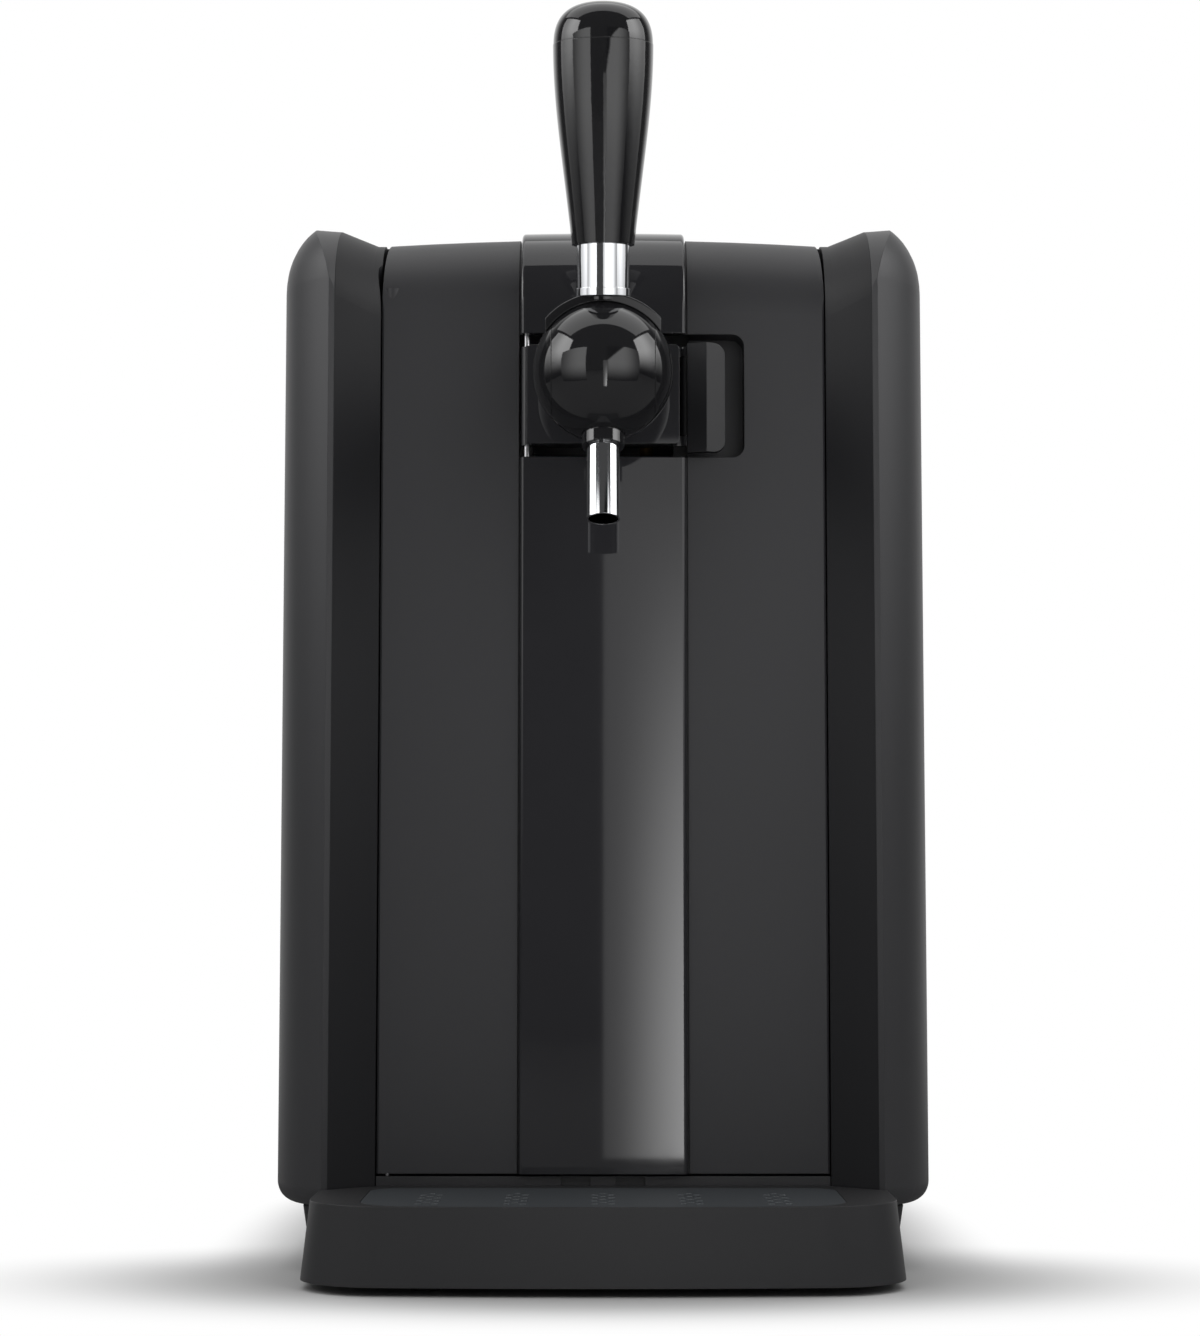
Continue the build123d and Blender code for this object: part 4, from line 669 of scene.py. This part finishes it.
def make_screw(pattern):
    """One screw in a tree: domed head above z 0 with a cross recess, and its shank below."""
    radius = pattern.given("Head radius", 3.2 * MM)
    height = pattern.given("Head height", 1.8 * MM)
    shank = pattern.given("Shank radius", 1.5 * MM)
    reach = pattern.given("Length", 14 * MM)
    slot = pattern.given("Slot width", 0.9 * MM)

    inputs = {"Vertices": HEAD_CORNERS, "Fill Segments": 5, "Radius": radius, "Depth": height}
    disc = pattern.add("GeometryNodeMeshCylinder", inputs=inputs).out("Mesh")
    raised = pattern.moved(disc, pattern.vector(z=height / 2.0))
    x, y, z = pattern.axes(pattern.add("GeometryNodeInputPosition").out())
    fall = ((x / radius) ** 2.0 + (y / radius) ** 2.0) * z * -DOME_FALL
    inputs = {"Geometry": raised, "Offset": pattern.vector(z=fall)}
    head = pattern.add("GeometryNodeSetPosition", inputs=inputs).out()

    arm = radius * RECESS_SPAN
    deep = height * RECESS_BAR
    for across, along in ((arm, slot), (slot, arm)):
        inputs = {"Size": pattern.vector(across, along, deep)}
        bar = pattern.add("GeometryNodeMeshCube", inputs=inputs).out("Mesh")
        sunk = pattern.moved(bar, pattern.vector(z=height))
        settings = {"operation": "DIFFERENCE", "solver": "EXACT"}
        inputs = {"Mesh 1": head, "Mesh 2": sunk}
        head = pattern.add("GeometryNodeMeshBoolean", settings, inputs).out("Mesh")

    inputs = {"Vertices": SHANK_CORNERS, "Radius": shank, "Depth": reach}
    rod = pattern.add("GeometryNodeMeshCylinder", inputs=inputs).out("Mesh")
    lowered = pattern.moved(rod, pattern.vector(z=reach * -SHANK_DROP))
    joined = pattern.add("GeometryNodeJoinGeometry", inputs={"Geometry": head})
    pattern.link(lowered, joined.node.inputs["Geometry"])
    return joined.out()


def make_coil(pattern):
    """One coil spring in a tree, standing on z 0."""
    turns = pattern.given("Turns", 5.0)
    mean = pattern.given("Mean radius", 2.6 * MM)
    inputs = {
        "Resolution": COIL_CORNERS,
        "Rotations": turns,
        "Start Radius": mean,
        "End Radius": mean,
        "Height": pattern.given("Height", 6.0 * MM),
    }
    path = pattern.add("GeometryNodeCurveSpiral", inputs=inputs).out()
    wire = pattern.ring(pattern.given("Wire radius", 0.35 * MM), WIRE_CORNERS)
    return pattern.swept(path, wire, caps=True)


def make_rim(pattern):
    """One bead round a hole in a tree, half sunk in z 0."""
    hole = pattern.given("Hole radius", 1.1 * MM)
    bead = pattern.given("Bead radius", 0.2 * MM)
    return pattern.swept(pattern.ring(hole + bead, RIM_CORNERS), pattern.ring(bead, BEAD_CORNERS))


# ------------------------------------------------------------------- operators


class DISPENSER_OT_finishes(bpy.types.Operator):
    """Makes the plastics, metals, rubbers and foams"""

    bl_idname = "dispenser.finishes"
    bl_label = "Finishes"

    def execute(self, context):
        make_finishes(context.scene.dispenser_colours)
        return {"FINISHED"}


class DISPENSER_OT_housing(bpy.types.Operator):
    """Dresses the side panels, frame, top, rear and base"""

    bl_idname = "dispenser.housing"
    bl_label = "Housing"

    def execute(self, context):
        dress(HOUSING)
        return {"FINISHED"}


class DISPENSER_OT_door(bpy.types.Operator):
    """Dresses the door, its band, tap plate, lever, liner, foam and gasket"""

    bl_idname = "dispenser.door"
    bl_label = "Door"

    def execute(self, context):
        dress(DOOR)
        return {"FINISHED"}


class DISPENSER_OT_tap(bpy.types.Operator):
    """Dresses the ball tap, its handle, the spout and the beer tube"""

    bl_idname = "dispenser.tap"
    bl_label = "Tap"

    def execute(self, context):
        dress(TAP)
        return {"FINISHED"}


class DISPENSER_OT_cooling(bpy.types.Operator):
    """Dresses the keg chamber, cooler, fan, pump, boards and display"""

    bl_idname = "dispenser.cooling"
    bl_label = "Cooling and electrics"

    def execute(self, context):
        dress(COOLING)
        return {"FINISHED"}


class DISPENSER_OT_tray(bpy.types.Operator):
    """Dresses the drip tray and its perforated cover"""

    bl_idname = "dispenser.tray"
    bl_label = "Drip tray"

    def execute(self, context):
        dress(TRAY)
        return {"FINISHED"}


class DISPENSER_OT_drains(bpy.types.Operator):
    """Raised rims round the drain holes of the tray's cover"""

    bl_idname = "dispenser.drains"
    bl_label = "Drain rims"

    def execute(self, context):
        pattern = Pattern("drain_rims")
        pattern.close(pattern.at_places(make_rim(pattern)), "cover_plastic")
        radius, top, centres = round_holes("drip_cover")
        rims = pattern.run(
            [(x, y, top) for x, y in centres],
            sharp=60.0,
            Hole_radius=radius,
            Bead_radius=context.scene.dispenser_fittings.rim_bead / 2,
        )
        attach(rims, "tray_cover")
        return {"FINISHED"}


class DISPENSER_OT_screws(bpy.types.Operator):
    """Screws of the rear cover, with domed heads, cross recesses and shanks"""

    bl_idname = "dispenser.screws"
    bl_label = "Rear cover screws"

    def execute(self, context):
        fittings = context.scene.dispenser_fittings
        height = fittings.head_height
        quarter = math.pi / 2  # turns a screw's head to the rear, and limits its random spin
        pattern = Pattern("rear_screws")
        placed = pattern.at_places(make_screw(pattern), Rotation=(-quarter, 0.0, 0.0))
        inputs = {2: 0.0, 3: quarter, "Seed": pattern.given("Seed", 7, "NodeSocketInt")}
        turn = pattern.add("FunctionNodeRandomValue", {"data_type": "FLOAT"}, inputs).out(1)
        inputs = {"Instances": placed, "Rotation": pattern.vector(z=turn), "Local Space": True}
        turned = pattern.add("GeometryNodeRotateInstances", inputs=inputs).out()
        pattern.close(turned, "bright_steel")
        boxes = solids("panel_screws")
        low, high = boxes[0]
        screws = pattern.run(
            [((a.x + b.x) / 2, b.y - height, (a.z + b.z) / 2) for a, b in boxes],
            sharp=30.0,
            Head_radius=(high.x - low.x) / 2,
            Head_height=height,
            Length=high.y - low.y - height,
            Slot_width=fittings.slot_width,
        )
        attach(screws, "housing")
        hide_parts("panel_screws")
        return {"FINISHED"}


class DISPENSER_OT_spring(bpy.types.Operator):
    """Coil spring above the pinch plunger"""

    bl_idname = "dispenser.spring"
    bl_label = "Plunger spring"

    def execute(self, context):
        fittings = context.scene.dispenser_fittings
        wire = fittings.spring_wire
        low, high = (Vector(corner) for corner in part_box("plunger_spring"))
        middle = (low + high) / 2
        rest = high.z - low.z
        pattern = Pattern("plunger_coil")
        pattern.close(pattern.at_places(make_coil(pattern)), "bright_steel")
        spring = pattern.run(
            [(middle.x, middle.y, low.z + wire / 2)],
            sharp=50.0,
            Turns=float(fittings.spring_turns),
            Mean_radius=(high.x - low.x) / 2 - wire * COIL_INSET,
            Height=rest - wire,
            Wire_radius=wire / 2,
        )
        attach(spring, "tap")
        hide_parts("plunger_spring")
        travel = next(j for j in frame["joints"] if j["name"] == "plunger_slide")["range_m"][1]
        (rest - travel) / rest
        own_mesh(spring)
        return {"FINISHED"}


# ------------------------------------------------------------------------ stage


FLOOR_REACH = 2.4
SENSOR_WIDTH = 36.0
CAMERA_SHIFT = (-0.0024, -0.0261)
CAMERA_CLIP = (0.05, 30.0)
FLOOR_LIT, FLOOR_PAINTED_SHADE, FLOOR_MIRRORED = grey(0.93), grey(0.42), grey(0.25)
AMBIENT, AMBIENT_MIRRORED = 0.46, 0.07

# Half width, half depth, middle along Y and roundness of the shadows on the floor. Round the tray
# a painted shadow also darkens the floor's colour.
TRAY_SHADOW = (0.29, 0.16, -0.165, 2)
FOOT_SHADOW = (0.17, 0.26, 0.02, 4)

# Place, target, width and height in metres, watts, and whether glossy surfaces show the lamp.
LAMPS = {
    "overhead": ((0.0, 0.04, 1.6), (0.0, 0.04, 0.3), (2.4, 1.2), 11.5, True),
    "left_front": ((-0.80, -1.25, 1.0), (0.0, -0.1, 0.25), (0.6, 0.9), 4.0, False),
    "right_front": ((0.80, -1.25, 1.0), (0.0, -0.1, 0.25), (0.6, 0.9), 4.0, False),
}


def stage_plane(name, corners):
    """A plane of the stage, with the finish of its own name."""
    mesh = bpy.data.meshes.new(name)
    mesh.from_pydata(corners, [], [(0, 1, 2, 3)])
    mesh.materials.append(FINISHES[name])
    plane = bpy.data.objects.new(name, mesh)
    bpy.context.scene.collection.objects.link(plane)
    return plane


def distance_in(x, y, shadow):
    """0 in the middle of a shadow, 1 on its outline and more outside."""
    half_width, half_depth, middle, power = shadow
    across = (x / half_width) ** power
    along = ((y - middle) / half_depth) ** power
    return (across + along) ** (1 / power)


def make_floor():
    """White floor with a soft shadow, cast by the lamps and round the tray also painted into its
    colour for the camera, plain white beyond it, and dark in gloss.
    """
    recipe = new_finish("studio_floor")
    x, y, _ = recipe.axes(recipe.place())
    camera, mirrored = recipe.ray()
    from_tray = distance_in(x, y, TRAY_SHADOW)
    from_foot = distance_in(x, y, FOOT_SHADOW)
    front = 1.0 - y.ramp(0.45, 1.20)
    # painted shadow: darkens the floor's colour round the tray, for camera rays only
    shade = (1.0 - from_tray.ramp(0.25, 1.0)) * camera
    lit = recipe.diffuse(recipe.blend(shade, FLOOR_LIT, FLOOR_PAINTED_SHADE))
    clear = from_tray.ramp(0.45, 1.0) * from_foot.ramp(0.70, 1.0)
    pale = recipe.mixed(clear * camera.largest(mirrored), lit, recipe.emission())
    recipe.finish(recipe.mixed(mirrored * front, pale, recipe.diffuse(FLOOR_MIRRORED)))
    signs = ((-1, -1), (1, -1), (1, 1), (-1, 1))
    stage_plane("studio_floor", [(a * FLOOR_REACH, b * FLOOR_REACH, 0) for a, b in signs])


def make_world(scene):
    """White to the camera, dim to the light, and dark in gloss except behind the object."""
    world = bpy.data.worlds.new("studio_world")
    scene.world = world
    world.use_nodes = True
    recipe = Recipe(world.node_tree)
    _, y, z = recipe.axes(recipe.add("ShaderNodeTexCoord").out("Generated"))
    camera, mirrored = recipe.ray()
    behind = (y + z * 0.3).ramp(0.60, 0.95)
    seen = camera.largest(mirrored * behind)
    dim = AMBIENT - mirrored * (AMBIENT - AMBIENT_MIRRORED)
    inputs = {"Color": WHITE, "Strength": seen + (1 - seen) * dim}
    background = recipe.add("ShaderNodeBackground", inputs=inputs).out()
    recipe.finish(background, "ShaderNodeOutputWorld")


def make_lamps(factor):
    for name, (place, target, size, watts, in_gloss) in LAMPS.items():
        data = bpy.data.lights.new(name, "AREA")
        data.shape = "RECTANGLE"
        data.size, data.size_y = size
        data.energy = watts * factor
        lamp = bpy.data.objects.new(name, data)
        bpy.context.scene.collection.objects.link(lamp)
        lamp.location = place
        lamp.rotation_euler = (Vector(target) - Vector(place)).to_track_quat("-Z", "Y").to_euler()
        lamp.visible_glossy = in_gloss


def right_reflector_glow(x, y, z):
    """Brightest at its right foot: the wedge of light in the lower band."""
    return 0.9 + x.ramp(0.0, 0.07) * (1.0 - z.ramp(0.0, 0.42)) * 7.0


def right_wall_glow(x, y, z):
    """Fades towards the floor and the right, with an inner edge that slants above the band."""
    inner = (x - (z - 0.42).largest(0.0) * 1.1).ramp(0.04, 0.09)
    return z.ramp(0.10, 0.40) * (1.0 - x.ramp(0.25, 0.62) * 0.8) * inner * 2.0


def left_wall_glow(x, y, z):
    """Fades towards the floor and the left."""
    return z.ramp(0.10, 0.40) * (1.0 - x.absolute().ramp(0.32, 0.75) * 0.7) * 2.0


def side_card_glow(x, y, z):
    """Fades towards the floor and the rear."""
    return z.ramp(0.25, 0.85) * (1.0 - y.ramp(-0.45, 0.10) * 0.6) * 5.2


# One lower corner, X and Y of the other one, height of the top, and glow.
CARDS = {
    "right_reflector": ((0.0, -0.70, 0.0), (0.06, -0.70), 0.42, right_reflector_glow),
    "right_wall": ((0.06, -0.70, 0.12), (0.62, -0.52), 0.66, right_wall_glow),
    "left_wall": ((-0.26, -0.66, 0.12), (-0.75, -0.42), 0.66, left_wall_glow),
    "left_card": ((-1.0, -0.75, 0.20), (-1.0, 0.20), 1.30, side_card_glow),
    "right_card": ((1.0, -0.75, 0.20), (1.0, 0.20), 1.30, side_card_glow),
}


def make_cards():
    """Upright glowing cards that only glossy surfaces show."""
    for name, ((x0, y0, z0), (x1, y1), top, glow) in CARDS.items():
        recipe = new_finish(name)
        recipe.finish(recipe.emission(glow(*recipe.axes(recipe.place()))))
        card = stage_plane(name, [(x0, y0, z0), (x1, y1, z0), (x1, y1, top), (x0, y0, top)])
        card.visible_camera = False
        card.visible_diffuse = False
        card.visible_shadow = False


def make_camera(scene, studio):
    data = bpy.data.cameras.new("camera")
    data.lens = studio.lens
    data.sensor_width = SENSOR_WIDTH
    data.shift_x, data.shift_y = CAMERA_SHIFT
    data.clip_start, data.clip_end = CAMERA_CLIP
    camera = bpy.data.objects.new("camera", data)
    scene.collection.objects.link(camera)
    camera.location = (0.0, -studio.distance, studio.height)
    camera.rotation_euler = (math.pi / 2 + studio.pitch, 0.0, 0.0)
    scene.camera = camera


class DISPENSER_OT_stage(bpy.types.Operator):
    """Sets the floor, the white surround, the lamps, the cards and the camera"""

    bl_idname = "dispenser.stage"
    bl_label = "Stage"

    def execute(self, context):
        studio = context.scene.dispenser_studio
        make_floor()
        make_world(context.scene)
        make_lamps(studio.lamps)
        make_cards()
        make_camera(context.scene, studio)
        context.scene.view_settings.view_transform = "Standard"
        return {"FINISHED"}


# ----------------------------------------------------------------------- add-on


class DISPENSER_PT_sidebar(bpy.types.Panel):
    """Steps, colours and sizes of the dispenser"""

    bl_idname = "DISPENSER_PT_sidebar"
    bl_label = "Beer dispenser"
    bl_space_type = "VIEW_3D"
    bl_region_type = "UI"
    bl_category = "Dispenser"

    def draw(self, context):
        layout = self.layout
        for step in STEPS:
            layout.operator(step.bl_idname)
        for group in GROUPS:
            holder = getattr(context.scene, group)
            box = layout.box()
            for name in holder.__annotations__:
                box.prop(holder, name)


STEPS = (
    DISPENSER_OT_finishes,
    DISPENSER_OT_stage,
    DISPENSER_OT_housing,
    DISPENSER_OT_door,
    DISPENSER_OT_tap,
    DISPENSER_OT_cooling,
    DISPENSER_OT_tray,
    DISPENSER_OT_drains,
    DISPENSER_OT_screws,
    DISPENSER_OT_spring,
)
GROUPS = {
    "dispenser_colours": DISPENSER_colours,
    "dispenser_fittings": DISPENSER_fittings,
    "dispenser_studio": DISPENSER_studio,
}


def register():
    for cls in (*GROUPS.values(), *STEPS, DISPENSER_PT_sidebar):
        bpy.utils.register_class(cls)
    for name, cls in GROUPS.items():
        setattr(bpy.types.Scene, name, PointerProperty(type=cls))


def unregister():
    for name in GROUPS:
        delattr(bpy.types.Scene, name)
    for cls in reversed((*GROUPS.values(), *STEPS, DISPENSER_PT_sidebar)):
        bpy.utils.unregister_class(cls)


def main():
    register()
    for step in STEPS:
        area, name = step.bl_idname.split(".")
        getattr(getattr(bpy.ops, area), name)()


if __name__ == "__main__":
    main()
